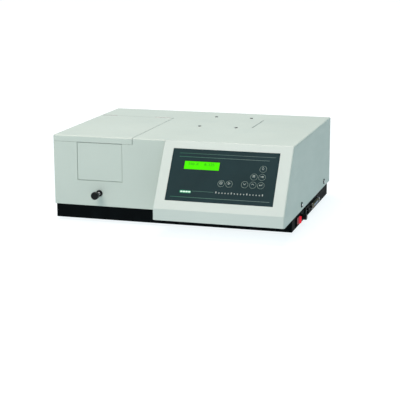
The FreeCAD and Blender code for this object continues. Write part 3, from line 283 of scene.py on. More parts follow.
ROCKER_Y = JOINTS["power_rocker_tilt"]["pos_m"][1]
CASE_TONE = (0.452, 0.545, 0.503)
BEZEL_TONE = (0.462, 0.552, 0.520)
BLACK = (0.0020, 0.0032, 0.0038)
MATERIALS = {
    "case_paint": powder_coat("case_paint", CASE_TONE),
    "bezel_plastic": moulded_plastic("bezel_plastic", BEZEL_TONE),
    "tray_paint": powder_coat("tray_paint", BLACK, 0.02, depth=0.00008, roughness=(0.5, 0.65), soil=2.2),
    "overlay_film": printed_film("overlay_film", (0.0085, 0.0270, 0.0305)),
    "key_film": printed_film("key_film", (0.0100, 0.0295, 0.0330)),
    "lcd_window": backlit_screen("lcd_window", (0.085, 0.96, 0.001)),
    "black_plastic": moulded_plastic("black_plastic", BLACK, 0.16, roughness=(0.3, 0.44), fleck=1.8),
    # the rocker's red glow is painted light, not a lamp: a lit rear half and painted shade on the front half
    "rocker_red": tinted_plastic("rocker_red", (0.75, 0.004, 0.025), ROCKER_Y - 0.001, ROCKER_Y + 0.009),
    "rubber": rubber("rubber", (0.012, 0.012, 0.013)),
    "plated_steel": turned_metal("plated_steel", (0.66, 0.67, 0.68)),
    "black_steel": plated_metal("black_steel", (0.05, 0.052, 0.055), roughness=(0.3, 0.45)),
    "black_anodised": anodised("black_anodised", (0.03, 0.031, 0.034)),
    "quartz": clear_quartz("quartz"),
    "mirror_coat": mirror_coat("mirror_coat"),
    "board_green": circuit_board("board_green"),
    "brass": turned_metal("brass", (0.72, 0.5, 0.2)),
    "plated_sheet": plated_metal("plated_sheet", (0.58, 0.59, 0.6), stretch=(0.2, 1.0, 4.0)),
    "core_iron": iron_core("core_iron"),
}
RULE_INK = ink("rule_ink", (0.115, 0.185, 0.17), (0.02, 0.14, 0.08))
KEY_INK = ink("key_ink", (0.38, 0.47, 0.43))
RING_INK = ink("ring_ink", (0.19, 0.27, 0.24))
TICK_INK = ink("tick_ink", (0.37, 0.44, 0.42))
GREEN_INK = ink("green_ink", (0.012, 0.20, 0.10))
BADGE_INK = ink("badge_ink", (0.62, 0.88, 0.74))
WHITE_INK = ink("white_ink", (0.75, 0.77, 0.77))
SCREEN_DOTS = ink("screen_dots", (0.004, 0.09, 0.004))
INSULATOR = moulded_plastic("insulator_grey", (0.26, 0.34, 0.46), 0.3)
CHROMATE = plated_metal("chromate_steel", (0.30, 0.25, 0.16), roughness=(0.45, 0.6))
SCREW_STEEL = turned_metal("screw_steel", (0.16, 0.165, 0.17), roughness=(0.35, 0.5))
HINGE_STEEL = plated_metal("hinge_steel", (0.30, 0.31, 0.31), stretch=(9.0, 1.0, 1.0), roughness=(0.4, 0.6))
DARK_NYLON = moulded_plastic("dark_nylon", BLACK, 0.05, roughness=(0.55, 0.7), fleck=1.8)
OWN_LOOKS = {
    "hinge_leaves": HINGE_STEEL,
    "lid_hinge_leaves": HINGE_STEEL,
    "hinge_pins": HINGE_STEEL,
    "top_screws": SCREW_STEEL,
    "power_switch_body": DARK_NYLON,
    "power_inlet": DARK_NYLON,
}


def paint_cad_nodes():
    """Each node gets the material of its slot, apart from the few with a look of their own."""
    for row in frame["record"]["subparts"]:
        data = NODES[row["node"]].data
        data.materials.clear()
        data.materials.append(OWN_LOOKS.get(row["node"], MATERIALS[row["material_slot"]]))


paint_cad_nodes()


# ---- mesh helpers ---------------------------------------------------------------------------------------
def piece(name, mesh, body, slot, material=None, bevel=0.0, smooth=35.0):
    """A closed mesh in the part's frame becomes a named piece that rides on a CAD body."""
    bmesh.ops.recalc_face_normals(mesh, faces=mesh.faces)
    data = bpy.data.meshes.new(name)
    mesh.to_mesh(data)
    mesh.free()
    made = bpy.data.objects.new(name, data)
    bpy.context.scene.collection.objects.link(made)
    data.polygons.foreach_set("use_smooth", [True] * len(data.polygons))
    data.set_sharp_from_angle(angle=math.radians(smooth))
    data.materials.append(material or MATERIALS[slot])
    if bevel:
        soften(made, bevel)
    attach(made, body)
    return made


def soften(target, width, segments=2):
    """Rounds the sharp edges of a piece or of a CAD node."""
    weld = target.modifiers.new("weld", "WELD")
    weld.merge_threshold = 0.000002
    bevel = target.modifiers.new("round", "BEVEL")
    bevel.width = width
    bevel.segments = segments
    bevel.limit_method = "ANGLE"
    bevel.angle_limit = math.radians(50.0)
    bevel.use_clamp_overlap = True
    bevel.harden_normals = True


def prism(mesh, outline, along):
    """A closed solid: the outline swept by the vector along."""
    low = [mesh.verts.new(p) for p in outline]
    high = [mesh.verts.new(p + along) for p in outline]
    mesh.faces.new(low)
    mesh.faces.new(high)
    for i in range(len(low)):
        j = (i + 1) % len(low)
        mesh.faces.new((low[i], low[j], high[j], high[i]))


def block(mesh, low, high):
    (x0, y0, z0), (x1, y1, z1) = low, high
    outline = [Vector(p) for p in ((x0, y0, z0), (x1, y0, z0), (x1, y1, z0), (x0, y1, z0))]
    prism(mesh, outline, Z * (z1 - z0))


def circle(centre, right, up, radius, steps=48):
    """Points round a circle in the plane of the two unit vectors."""
    angles = [2 * math.pi * i / steps for i in range(steps)]
    return [centre + radius * (math.cos(a) * right + math.sin(a) * up) for a in angles]


def band(mesh, inner, outer, along):
    """A closed flat ring between two loops with the same number of points, swept by along."""
    loops = [[mesh.verts.new(p) for p in loop] for loop in
             (inner, outer, [p + along for p in outer], [p + along for p in inner])]
    count = len(inner)
    for first, second in zip(loops, loops[1:] + loops[:1]):
        for i in range(count):
            j = (i + 1) % count
            mesh.faces.new((first[i], first[j], second[j], second[i]))


def lathe(mesh, profile, centre, axis, steps=48, closed=False, flutes=0, depth=0.0, grip=(0.0, 0.0)):
    """Turns (distance, radius) points about the axis; flutes are cut between the grip's distances."""
    right = axis.orthogonal().normalized()
    up = axis.cross(right)
    rings = []
    for distance, radius in profile:
        middle = centre + axis * distance
        if radius == 0:
            rings.append([mesh.verts.new(middle)])
            continue
        ring = []
        for i in range(steps):
            angle = 2 * math.pi * i / steps
            fluted = grip[0] <= distance <= grip[1]
            scoop = depth * (0.5 - 0.5 * math.cos(flutes * angle)) if fluted else 0.0
            out = math.cos(angle) * right + math.sin(angle) * up
            ring.append(mesh.verts.new(middle + out * (radius - scoop)))
        rings.append(ring)
    pairs = list(zip(rings, rings[1:]))
    if closed:
        pairs.append((rings[-1], rings[0]))
    for first, second in pairs:
        for i in range(steps):
            j = (i + 1) % steps
            corners = [first[i % len(first)], first[j % len(first)]]
            corners += [second[j % len(second)], second[i % len(second)]]
            mesh.faces.new(list(dict.fromkeys(corners)))


def bar(mesh, start, end, width, normal, height):
    """A straight raised line of the given width between two points."""
    run = (end - start).normalized()
    side = normal.cross(run) * (width / 2)
    prism(mesh, [start - side, end - side, end + side, start + side], normal * height)


def pill(mesh, start, end, radius, normal, height, steps=10):
    """A bar with round ends."""
    run = (end - start).normalized()
    side = normal.cross(run)
    outline = []
    for centre, turn in ((end, -math.pi / 2), (start, math.pi / 2)):
        for i in range(steps + 1):
            angle = turn + math.pi * i / steps
            outline.append(centre + radius * (math.cos(angle) * run + math.sin(angle) * side))
    prism(mesh, outline, normal * height)


def in_metres(profile):
    """Metres, from a profile written in millimetres."""
    return [(distance * MM, radius * MM) for distance, radius in profile]


def middle_of(node):
    low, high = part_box(node)
    return (low + high) / 2


def front_of(node):
    """Middle of the front face of a node's box."""
    low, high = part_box(node)
    return Vector(((low.x + high.x) / 2, low.y, (low.z + high.z) / 2))


def half_width(node):
    low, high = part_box(node)
    return (high.x - low.x) / 2


def reach(node, direction):
    """How far a CAD node reaches along a direction."""
    return max(v.co.dot(direction) for v in NODES[node].data.vertices)


# ---- sheet metal and mouldings of the CAD: their sharp edges are rounded ---------------------------------
EDGE_ROUNDING = {
    "upper_case": 0.4 * MM,
    "sample_lid": 0.4 * MM,
    "front_access_plate": 1.1 * MM,
    "base_tray": 0.4 * MM,
    "control_bezel": 0.4 * MM,
    "power_inlet": 0.4 * MM,
    "cell_carriage": 0.3 * MM,
}
for node, width in EDGE_ROUNDING.items():
    soften(NODES[node], width)


# ---- control panel: places and sizes on the overlay are in millimetres ------------------------------------
PANEL_OUT = -Vector(JOINTS["key_zero_press"]["axis"]).normalized()
PANEL_DOWN = Vector((0, -PANEL_OUT.z, PANEL_OUT.y))
PANEL_LEVEL = reach("membrane_overlay", PANEL_OUT)
OVERLAY_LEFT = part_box("membrane_overlay")[0].x
OVERLAY_TOP = reach("membrane_overlay", -PANEL_DOWN)
PRINT_SINK = 0.02 * MM
PRINT_RISE = 0.05 * MM
RULES = (  # left end, right end, distance down, width
    (18.0, 260.5, 11.8, 0.8),
    (19.0, 246.0, 21.1, 1.0),
    (66.0, 119.0, 110.3, 0.8),
    (12.0, 260.5, 127.1, 1.1),
)
BADGE_ENDS = (37.0, 59.5)
BADGE_DOWN = 112.8
BADGE_RADIUS = 3.9
STUD_COUNT = 4
STUD_START = 37.6
STUD_PITCH = 6.6
STUD_LENGTH = 2.4
STUD_RADIUS = 1.9
STUD_RISE = 1.6 * PRINT_RISE
TICK_COUNT = 16
TICK_START = 125.5
TICK_DOWN = 112.6
TICK_PITCH = 7.7
TICK_WIDTH = 2.2
TICK_HEIGHT = 3.0
TALL_TICK_HEIGHT = 4.6
TALL_TICK_EVERY = 5


def lay_on_panel(point, level):
    """Moves a point along the panel's normal to just below the given level."""
    return point + PANEL_OUT * (level - PRINT_SINK - point.dot(PANEL_OUT))


def on_overlay(right, down):
    """A point on the overlay, from its upper left corner, in millimetres."""
    corner = X * OVERLAY_LEFT + PANEL_OUT * (PANEL_LEVEL - PRINT_SINK) - PANEL_DOWN * OVERLAY_TOP
    return corner + (X * right + PANEL_DOWN * down) * MM


def add_overlay_print():
    """Four rules, a plain badge and a row of scale ticks."""
    rules = bmesh.new()
    for left, right, down, width in RULES:
        bar(rules, on_overlay(left, down), on_overlay(right, down), width * MM, PANEL_OUT, PRINT_RISE)
    piece("overlay_rules", rules, "housing", "overlay_film", RULE_INK)
    badge = bmesh.new()
    start, end = (on_overlay(right, BADGE_DOWN) for right in BADGE_ENDS)
    pill(badge, start, end, BADGE_RADIUS * MM, PANEL_OUT, PRINT_RISE)
    piece("overlay_badge", badge, "housing", "overlay_film", GREEN_INK)
    studs = bmesh.new()
    for number in range(STUD_COUNT):
        start = on_overlay(STUD_START + number * STUD_PITCH, BADGE_DOWN)
        pill(studs, start, start + X * (STUD_LENGTH * MM), STUD_RADIUS * MM, PANEL_OUT, STUD_RISE)
    piece("overlay_badge_studs", studs, "housing", "overlay_film", BADGE_INK)
    ticks = bmesh.new()
    for number in range(TICK_COUNT):
        base = on_overlay(TICK_START + TICK_PITCH * number, TICK_DOWN)
        height = TICK_HEIGHT if number % TALL_TICK_EVERY else TALL_TICK_HEIGHT
        bar(ticks, base - PANEL_DOWN * (height * MM), base, TICK_WIDTH * MM, PANEL_OUT, PRINT_RISE)
    piece("overlay_ticks", ticks, "housing", "overlay_film", TICK_INK)


# ---- display --------------------------------------------------------------------------------------------
BORDER_INSIDE = 1.2 * MM
BORDER_OUTSIDE = 0.5 * MM
BORDER_RISE = 0.12 * MM
DOT_ROWS = {
    "0": (".###.", "#...#", "#..##", "#.#.#", "##..#", "#...#", ".###."),
    "1": ("..#..", ".##..", "..#..", "..#..", "..#..", "..#..", ".###."),
    "2": (".###.", "#...#", "....#", "...#.", "..#..", ".#...", "#####"),
    "4": ("...#.", "..##.", ".#.#.", "#..#.", "#####", "...#.", "...#."),
    "5": ("#####", "#....", "####.", "....#", "....#", "#...#", ".###."),
    ".": (".....", ".....", ".....", ".....", ".....", ".##..", ".##.."),
    " ": (".....",) * 7,
}
READING = "540.0   0.125"
READING_AT = (11.5 * MM, 5.6 * MM)
DOT_PITCH = 0.84 * MM
DOT_SIZE = 0.70 * MM
DOTS_PER_LETTER = 6


def screen_corners(grow):
    """Corners of the display window on the overlay's face, moved outwards by grow."""
    low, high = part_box("lcd_screen")
    face = PANEL_OUT * (PANEL_LEVEL - PRINT_SINK)
    top = face - PANEL_DOWN * (reach("lcd_screen", -PANEL_DOWN) + grow)
    bottom = face + PANEL_DOWN * (reach("lcd_screen", PANEL_DOWN) + grow)
    left = X * (low.x - grow)
    right = X * (high.x + grow)
    return [left + top, right + top, right + bottom, left + bottom]


def add_screen_border():
    """Thin black border raised round the display window."""
    mesh = bmesh.new()
    band(mesh, screen_corners(-BORDER_INSIDE), screen_corners(BORDER_OUTSIDE), PANEL_OUT * BORDER_RISE)
    piece("screen_border", mesh, "housing", "black_plastic")


def add_reading():
    """Numbers on the display, as raised dots of a five by seven matrix."""
    mesh = bmesh.new()
    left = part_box("lcd_screen")[0].x + READING_AT[0]
    down = READING_AT[1] - reach("lcd_screen", -PANEL_DOWN)
    corner = X * left + PANEL_OUT * (reach("lcd_screen", PANEL_OUT) - PRINT_SINK) + PANEL_DOWN * down
    for number, letter in enumerate(READING):
        for row, dots in enumerate(DOT_ROWS[letter]):
            for column, dot in enumerate(dots, start=number * DOTS_PER_LETTER):
                if dot == "#":
                    at = corner + X * (column * DOT_PITCH) + PANEL_DOWN * (row * DOT_PITCH)
                    bar(mesh, at, at + X * DOT_SIZE, DOT_SIZE, PANEL_OUT, PRINT_RISE)
    piece("screen_reading", mesh, "housing", "lcd_window", SCREEN_DOTS)


# ---- keys: sizes are in millimetres, lines run right and down from the symbol's middle -------------------
KEY_RING = (7.9, 8.6)
ZERO_RING = (2.4, 3.3)
ZERO_SQUEEZE = 0.72
STROKE = 0.9
SYMBOL_AT = (-0.6, -1.6)
KEY_LINES = {
    "key_goto": [[(-3.6, 0), (2.2, 0)], [(0.2, -2.0), (2.2, 0), (0.2, 2.0)], [(3.6, -2.6), (3.6, 2.6)]],
    "key_mode": [[(-3.2, -2.2), (3.2, -2.2)], [(-3.2, 0), (3.2, 0)], [(-3.2, 2.2), (3.2, 2.2)]],
    "key_down": [[(-3.0, -1.5), (0, 2.0), (3.0, -1.5)]],
    "key_up": [[(-3.0, 1.5), (0, -2.0), (3.0, 1.5)]],
    "key_enter": [[(3.2, -2.4), (3.2, 1.0), (-3.2, 1.0)], [(-1.2, -1.0), (-3.2, 1.0), (-1.2, 3.0)]],
    "key_print": [[(-2.6, -3.0), (2.6, -3.0), (2.6, 3.0), (-2.6, 3.0), (-2.6, -3.0)], [(-1.2, 0), (1.2, 0)]],
    "key_start": [[(-2.0, -3.0), (3.0, 0), (-2.0, 3.0), (-2.0, -3.0)]],
    "key_zero": [],
}


def add_key_print(key, lines):
    """A printed ring and a plain symbol that ride on one key; a key without lines gets a nought."""
    centre = lay_on_panel(middle_of(key), reach(key, PANEL_OUT))
    rise = PANEL_OUT * PRINT_RISE
    ring = bmesh.new()
    inner, outer = (circle(centre, X, PANEL_DOWN, radius * MM) for radius in KEY_RING)
    band(ring, inner, outer, rise)
    piece(key + "_ring", ring, key, "key_film", RING_INK)
    symbol = bmesh.new()
    centre += (X * SYMBOL_AT[0] + PANEL_DOWN * SYMBOL_AT[1]) * MM
    for line in lines:
        points = [centre + (X * right + PANEL_DOWN * down) * MM for right, down in line]
        for start, end in zip(points, points[1:]):
            bar(symbol, start, end, STROKE * MM, PANEL_OUT, PRINT_RISE)
    if not lines:
        inner, outer = (circle(centre, X * ZERO_SQUEEZE, PANEL_DOWN, radius * MM) for radius in ZERO_RING)
        band(symbol, inner, outer, rise)
    piece(key + "_print", symbol, key, "key_film", KEY_INK)


add_overlay_print()
add_screen_border()
add_reading()
for key, lines in KEY_LINES.items():
    add_key_print(key, lines)


# ---- cell changer knob and bush -------------------------------------------------------------------------
KNOB_DOME = 0.9 * MM
KNOB_DOME_STEPS = 6
KNOB_FACE = 0.86
KNOB_FLUTES = 24
FLUTE_DEPTH = 0.35 * MM
KNOB_GRIP = (3.0 * MM, 9.8 * MM)
BUSH_NUT_LENGTH = 5.0 * MM
BUSH_BODY_R = 6.0 * MM
SLEEVE_WALL = 1.0 * MM
SLEEVE_LENGTH = 14.0 * MM
SLEEVE_PROUD = 0.1 * MM
ROD_PLAY = 0.05 * MM


def add_rod_knob():
    """Fluted knob with a shallow domed face, and the collar it is screwed against."""
    low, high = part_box("rod_knob")
    length = high.y - low.y
    radius = half_width("rod_knob")
    dome = [part / KNOB_DOME_STEPS for part in range(1, KNOB_DOME_STEPS + 1)]
    profile = [(0.0, 0.0)] + [(KNOB_DOME * part ** 2, radius * KNOB_FACE * part) for part in dome] + [
        (1.5 * MM, radius * 0.94),
        (2.4 * MM, radius * 0.99),
        (3.2 * MM, radius),
        (9.6 * MM, radius),
        (10.4 * MM, radius * 0.97),
        (10.9 * MM, radius * 0.9),
        (11.1 * MM, radius * 0.68),
        (length - 0.6 * MM, radius * 0.64),
        (length, radius * 0.58),
        (length, 0.0),
    ]
    mesh = bmesh.new()
    centre = front_of("rod_knob")
    lathe(mesh, profile, centre, Y, steps=120, flutes=KNOB_FLUTES, depth=FLUTE_DEPTH, grip=KNOB_GRIP)
    knob = piece("changer_knob", mesh, "cell_changer", "black_plastic")
    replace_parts(knob, "rod_knob")


def add_rod_bush():
    """Threaded bush: a round nut with a chamfered face, and a bright sleeve for the rod."""
    low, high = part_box("rod_bush")
    length = high.y - low.y
    radius = half_width("rod_bush")
    bore = half_width("pull_rod") + ROD_PLAY
    sleeve_radius = half_width("pull_rod") + SLEEVE_WALL
    centre = front_of("rod_bush")
    nut = bmesh.new()
    profile = [
        (0.5 * MM, sleeve_radius),
        (0.0, radius * 0.62),
        (0.3 * MM, radius * 0.86),
        (1.0 * MM, radius * 0.97),
        (1.8 * MM, radius),
        (BUSH_NUT_LENGTH, radius),
        (BUSH_NUT_LENGTH, BUSH_BODY_R),
        (length, BUSH_BODY_R),
        (length, sleeve_radius),
    ]
    lathe(nut, profile, centre, Y, steps=72, closed=True)
    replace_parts(piece("bush_nut", nut, "housing", "black_plastic"), "rod_bush")
    sleeve = bmesh.new()
    profile = [
        (-SLEEVE_PROUD, bore),
        (-SLEEVE_PROUD, sleeve_radius - 0.2 * MM),
        (SLEEVE_PROUD, sleeve_radius - 0.02 * MM),
        (SLEEVE_LENGTH, sleeve_radius - 0.02 * MM),
        (SLEEVE_LENGTH, bore),
    ]
    lathe(sleeve, profile, centre, Y, closed=True)
    piece("bush_sleeve", sleeve, "housing", "plated_steel")


add_rod_knob()
add_rod_bush()


# ---- power switch, fuse, inlet and printer socket on the right side of the base ---------------------------
TAB_REACH = 2 * MM  # how far the base's screw tabs stand out past its side wall
WALL_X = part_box("base_tray")[1].x - TAB_REACH
ROCKER_REST = math.radians(-12.0)
ROCKER_HALF = 14.9 * MM
ROCKER_HALF_HEIGHT = 8.9 * MM
ROCKER_END = 8.2 * MM
ROCKER_MIDDLE = 6.2 * MM
ROCKER_STEPS = 16
ROCKER_SHOULDER = (0.0, 13.5 * MM)
ROCKER_FOOT = (-7 * MM, 9 * MM)
MARK_AT = 8.0 * MM
MARK_SINK = 0.15 * MM
MARK_RISE = 0.2 * MM
MARK_RING = (1.6 * MM, 2.2 * MM)
MARK_BAR = (2.2 * MM, 0.6 * MM)
GRIP_RIBS = 20
RIB_RADIUS = 7.35 * MM
RIB_START = 3.2 * MM
RIB_LENGTH = 9.6 * MM
RIB_WIDTH = 0.9 * MM
RIB_RISE = 0.55 * MM
INLET_SCREW_AT = 20 * MM
INLET_SCREW = [(-3.0, 0.0), (-3.0, 1.6), (-0.2, 1.6), (-0.1, 3.0), (0.3, 2.9), (0.55, 2.2), (0.7, 0.9),
               (0.2, 0.5), (0.2, 0.0)]
SIDE_SCREW = [(0.0, 0.0), (0.0, 3.8), (2.0, 3.8), (2.6, 3.4), (3.0, 2.5), (3.2, 1.3), (2.2, 0.9), (2.2, 0.0)]
SIDE_SCREW_HEIGHT = 3.2 * MM
CUP_HOLE = 0.62


def rocker_face(along):
    """Height of the rocker's hollow face over its pivot, at a distance along it."""
    return ROCKER_MIDDLE + (ROCKER_END - ROCKER_MIDDLE) * (along / ROCKER_HALF) ** 2


def add_rocker():
    """Rocker with a hollow face, marked with a bar on its front half and a ring on its rear half."""
    pivot = Vector(JOINTS["power_rocker_tilt"]["pos_m"])
    turn = Matrix.Rotation(ROCKER_REST, 3, "Z")

    def place(out, along, height=0.0):
        return pivot + turn @ Vector((out, along, 0)) + Z * height

    stations = [ROCKER_HALF - 2 * ROCKER_HALF * i / ROCKER_STEPS for i in range(ROCKER_STEPS + 1)]
    face = [(rocker_face(along), along) for along in stations]
    back = [(ROCKER_FOOT[0], -ROCKER_FOOT[1]), ROCKER_FOOT, ROCKER_SHOULDER]
    outline = back + face + [(ROCKER_SHOULDER[0], -ROCKER_SHOULDER[1])]
    corners = [place(out, along, -ROCKER_HALF_HEIGHT) for out, along in outline]
    mesh = bmesh.new()
    prism(mesh, corners, Z * (2 * ROCKER_HALF_HEIGHT))
    rocker = piece("rocker_cap", mesh, "rocker", "rocker_red", bevel=0.6 * MM)
    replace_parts(rocker, "power_rocker")
    marks = bmesh.new()
    for along in (-MARK_AT, MARK_AT):
        rise = 2 * (ROCKER_END - ROCKER_MIDDLE) * along / ROCKER_HALF ** 2
        run = turn @ Vector((rise, 1.0, 0)).normalized()
        out = run.cross(Z)
        centre = place(rocker_face(along), along) - out * MARK_SINK
        if along < 0:
            half, width = MARK_BAR
            bar(marks, centre - Z * half, centre + Z * half, width, out, MARK_RISE)
        else:
            inner, outer = (circle(centre, run, Z, radius) for radius in MARK_RING)
            band(marks, inner, outer, out * MARK_RISE)
    # the marks share the rocker's painted light and painted shade
    piece("rocker_marks", marks, "rocker", "rocker_red")


def add_fuse_grip():
    """Raised ribs round the fuse cap."""
    centre = middle_of("fuse_holder")
    centre.x = WALL_X
    mesh = bmesh.new()
    for rib in range(GRIP_RIBS):
        angle = 2 * math.pi * rib / GRIP_RIBS
        out = math.cos(angle) * Y + math.sin(angle) * Z
        start = centre + out * RIB_RADIUS + X * RIB_START
        bar(mesh, start, start + X * RIB_LENGTH, RIB_WIDTH, out, RIB_RISE)
    piece("fuse_grip", mesh, "housing", "black_plastic", bevel=0.15 * MM)


def add_inlet_screws():
    """Two countersunk screws that hold the mains inlet."""
    centre = middle_of("power_inlet")
    centre.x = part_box("power_inlet")[1].x
    mesh = bmesh.new()
    for side in (-1, 1):
        lathe(mesh, in_metres(INLET_SCREW), centre + Y * (side * INLET_SCREW_AT), X, steps=32)
    piece("inlet_screws", mesh, "housing", "black_steel")


def add_side_screws():
    """Four cup washers in black, each with a bright pan-head screw."""
    cups, heads = bmesh.new(), bmesh.new()
    low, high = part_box("case_screws")
    radius = (high.z - low.z) / 2
    cup = [
        (0.0, radius * CUP_HOLE),
        (0.0, radius),
        (0.9 * MM, radius * 0.99),
        (1.7 * MM, radius * 0.9),
        (2.1 * MM, radius * 0.76),
        (1.9 * MM, radius * CUP_HOLE),
    ]
    for side, face in ((-1, low.x + SIDE_SCREW_HEIGHT), (1, high.x - SIDE_SCREW_HEIGHT)):
        for y in (low.y + radius, high.y - radius):
            centre = Vector((face, y, (low.z + high.z) / 2))
            lathe(cups, cup, centre, X * side, closed=True)
            lathe(heads, in_metres(SIDE_SCREW), centre, X * side, steps=32)
    washers = piece("cup_washers", cups, "housing", "black_plastic", DARK_NYLON)
    screws = piece("side_screw_heads", heads, "housing", "plated_steel")
    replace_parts(washers, "case_screws")
    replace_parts(screws, "case_screws")


SOCKET_FLANGE = 1.2 * MM
SOCKET_SHELL = (66 * MM, 11 * MM)
SHELL_WALL = 0.8 * MM
SOCKET_POST = [(0.0, 0.0), (0.0, 2.6), (5.2, 2.6), (5.8, 2.0), (5.8, 0.0)]
SOCKET_POST_IN = 6 * MM
TONGUE = (56 * MM, 4.6 * MM)
TONGUE_BACK = 0.8 * MM
CONTACT_COUNT = 18
CONTACT_PITCH = 2.9 * MM
CONTACT_START = 1.4 * MM
CONTACT_LENGTH = 5.4 * MM
CONTACT_WIDTH = 1.2 * MM
CONTACT_THICKNESS = 0.3 * MM
CONTACT_SINK = 0.1 * MM
LATCH_AT = 42 * MM
LATCH_RADIUS = 0.6 * MM
LATCH_BEND = [(1.6, 0, -6.4), (4.6, 0.5, -6.8), (6.6, 2.8, -3.4), (6.8, 3.4, 0),
              (6.6, 2.8, 3.4), (4.6, 0.5, 6.8), (1.6, 0, 6.4)]


def socket_outline(x, centre, length, height):
    """Outline of the D-shaped shell at one x, with its lower corners drawn in."""
    slant = height * 0.25
    half, tall = length / 2, height / 2
    places = [(slant - half, -tall), (half - slant, -tall), (half, tall), (-half, tall)]
    return [Vector((x, centre.y + along, centre.z + up)) for along, up in places]


def socket_flange(low, high):
    """Dark plate against the wall, with a hexagonal post near each end."""
    mesh = bmesh.new()
    corners = ((low.y, low.z), (high.y, low.z), (high.y, high.z), (low.y, high.z))
    prism(mesh, [Vector((WALL_X, y, z)) for y, z in corners], X * SOCKET_FLANGE)
    for y in (low.y + SOCKET_POST_IN, high.y - SOCKET_POST_IN):
        foot = Vector((WALL_X + SOCKET_FLANGE, y, (low.z + high.z) / 2))
        lathe(mesh, in_metres(SOCKET_POST), foot, X, steps=6)
    return piece("socket_flange", mesh, "housing", "black_steel", DARK_NYLON, bevel=0.3 * MM)


def socket_shell(centre, seat, front):
    """Drawn sheet shell round the tongue."""
    mesh = bmesh.new()
    length, height = SOCKET_SHELL
    outer = socket_outline(seat, centre, length, height)
    inner = socket_outline(seat, centre, length - 2 * SHELL_WALL, height - 2 * SHELL_WALL)
    band(mesh, inner, outer, X * (front - seat))
    return piece("socket_shell", mesh, "housing", "plated_sheet", CHROMATE, bevel=0.25 * MM)


def socket_tongue(centre, seat, front):
    """Insulating tongue that carries the contacts."""
    mesh = bmesh.new()
    length, thickness = TONGUE
    block(mesh, (seat, centre.y - length / 2, centre.z - thickness / 2),
          (front - TONGUE_BACK, centre.y + length / 2, centre.z + thickness / 2))
    return piece("socket_tongue", mesh, "housing", "black_plastic", INSULATOR, bevel=0.5 * MM)


def add_socket_contacts(centre):
    """Two rows of flat contacts, above and below the tongue."""
    mesh = bmesh.new()
    for number in range(CONTACT_COUNT):
        y = centre.y + (number - (CONTACT_COUNT - 1) / 2) * CONTACT_PITCH
        for side in (-1, 1):
            z = centre.z + side * (TONGUE[1] / 2 - CONTACT_SINK)
            start = Vector((WALL_X + CONTACT_START, y, z))
            bar(mesh, start, start + X * CONTACT_LENGTH, CONTACT_WIDTH, Z * side, CONTACT_THICKNESS)
    piece("socket_contacts", mesh, "housing", "brass")


def add_wire_latch(name, y, z, side):
    """A bent wire that would snap over the plug, lying back beside the shell."""
    curve = bpy.data.curves.new(name, "CURVE")
    curve.dimensions = "3D"
    curve.bevel_depth = LATCH_RADIUS
    curve.bevel_resolution = 3
    line = curve.splines.new("BEZIER")
    line.bezier_points.add(len(LATCH_BEND) - 1)
    for point, (out, along, up) in zip(line.bezier_points, LATCH_BEND):
        point.co = (WALL_X + out * MM, y + side * along * MM, z + up * MM)
        point.handle_left_type = "AUTO"
        point.handle_right_type = "AUTO"
    latch = bpy.data.objects.new(name, curve)
    bpy.context.scene.collection.objects.link(latch)
    curve.materials.append(MATERIALS["plated_steel"])
    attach(latch, "housing")


def add_printer_socket():
    """Printer socket: flange, shell, insulating tongue, two rows of contacts and two wire latches."""
    low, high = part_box("printer_port")
    centre = (low + high) / 2
    seat = WALL_X + SOCKET_FLANGE
    made = (
        socket_flange(low, high),
        socket_shell(centre, seat, high.x),
        socket_tongue(centre, seat, high.x),
    )
    for made_piece in made:
        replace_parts(made_piece, "printer_port")
    add_socket_contacts(centre)
    for side, name in ((-1, "socket_latch_front"), (1, "socket_latch_rear")):
        add_wire_latch(name, centre.y + side * LATCH_AT, centre.z, side)


add_rocker()
add_fuse_grip()
add_inlet_screws()
add_side_screws()
add_printer_socket()


# ---- sample compartment: lists of points are in millimetres -----------------------------------------------
CELL_COUNT = 4
CELL_PITCH = 16 * MM
CARRIAGE_END = 2 * MM  # wall of the carriage in front of its first well
SPRING_BEND = [(6.2, -1.0), (4.4, -6.0), (4.0, -14.0), (5.6, -24.0)]
SPRING_WIDTH = 5 * MM
SPRING_THICKNESS = 0.3 * MM
NUMBER_AT = (-9.6, 1.5, -0.02)
NUMBER_STROKE = 0.4 * MM
NUMBER_RISE = 0.06 * MM
DIGIT_LINES = {
    "1": [[(1, 0), (1, 3)]],
    "2": [[(0, 0), (1.8, 0), (1.8, 1.5), (0, 1.5), (0, 3), (1.8, 3)]],
    "3": [[(0, 0), (1.8, 0), (1.8, 3), (0, 3)], [(0.3, 1.5), (1.8, 1.5)]],
    "4": [[(0, 0), (0, 1.6), (1.8, 1.6)], [(1.8, 0), (1.8, 3)]],
}
LID_SHEET = 2 * MM
STIFFENER_AT = 215 * MM
STIFFENER_END = 22 * MM
STIFFENER_SECTION = [(-14, 0.0), (-14, -0.8), (-6.8, -0.8), (-5.0, -6.0), (5.0, -6.0), (6.8, -0.8),
                     (14, -0.8), (14, 0.0), (7.4, 0.0), (5.6, -5.2), (-5.6, -5.2), (-7.4, 0.0)]
BUFFER_AT = (34 * MM, 260 * MM)
BUFFER = [(0.0, 0.0), (0.0, 6.0), (2.0, 5.6), (5.4, 4.6), (6.2, 3.6), (6.4, 0.0)]
DECK_SHEET = 2 * MM
DECK_SCREW = [(-0.2, 0.0), (-0.2, 3.4), (1.0, 3.3), (1.8, 2.6), (2.1, 1.3), (1.2, 0.9), (1.2, 0.0)]
DECK_SCREW_X = (26 * MM, 8 * MM)  # in from the deck's left and right edges
DECK_SCREW_Y = (190 * MM, 24 * MM)  # in from its front and rear edges
ROD_MARK = ((-0.35 * MM, -0.1 * MM), (-0.3 * MM, 0.02 * MM), (0.3 * MM, 0.02 * MM), (0.35 * MM, -0.1 * MM))
ROD_MARK_OUT = 1.5 * MM


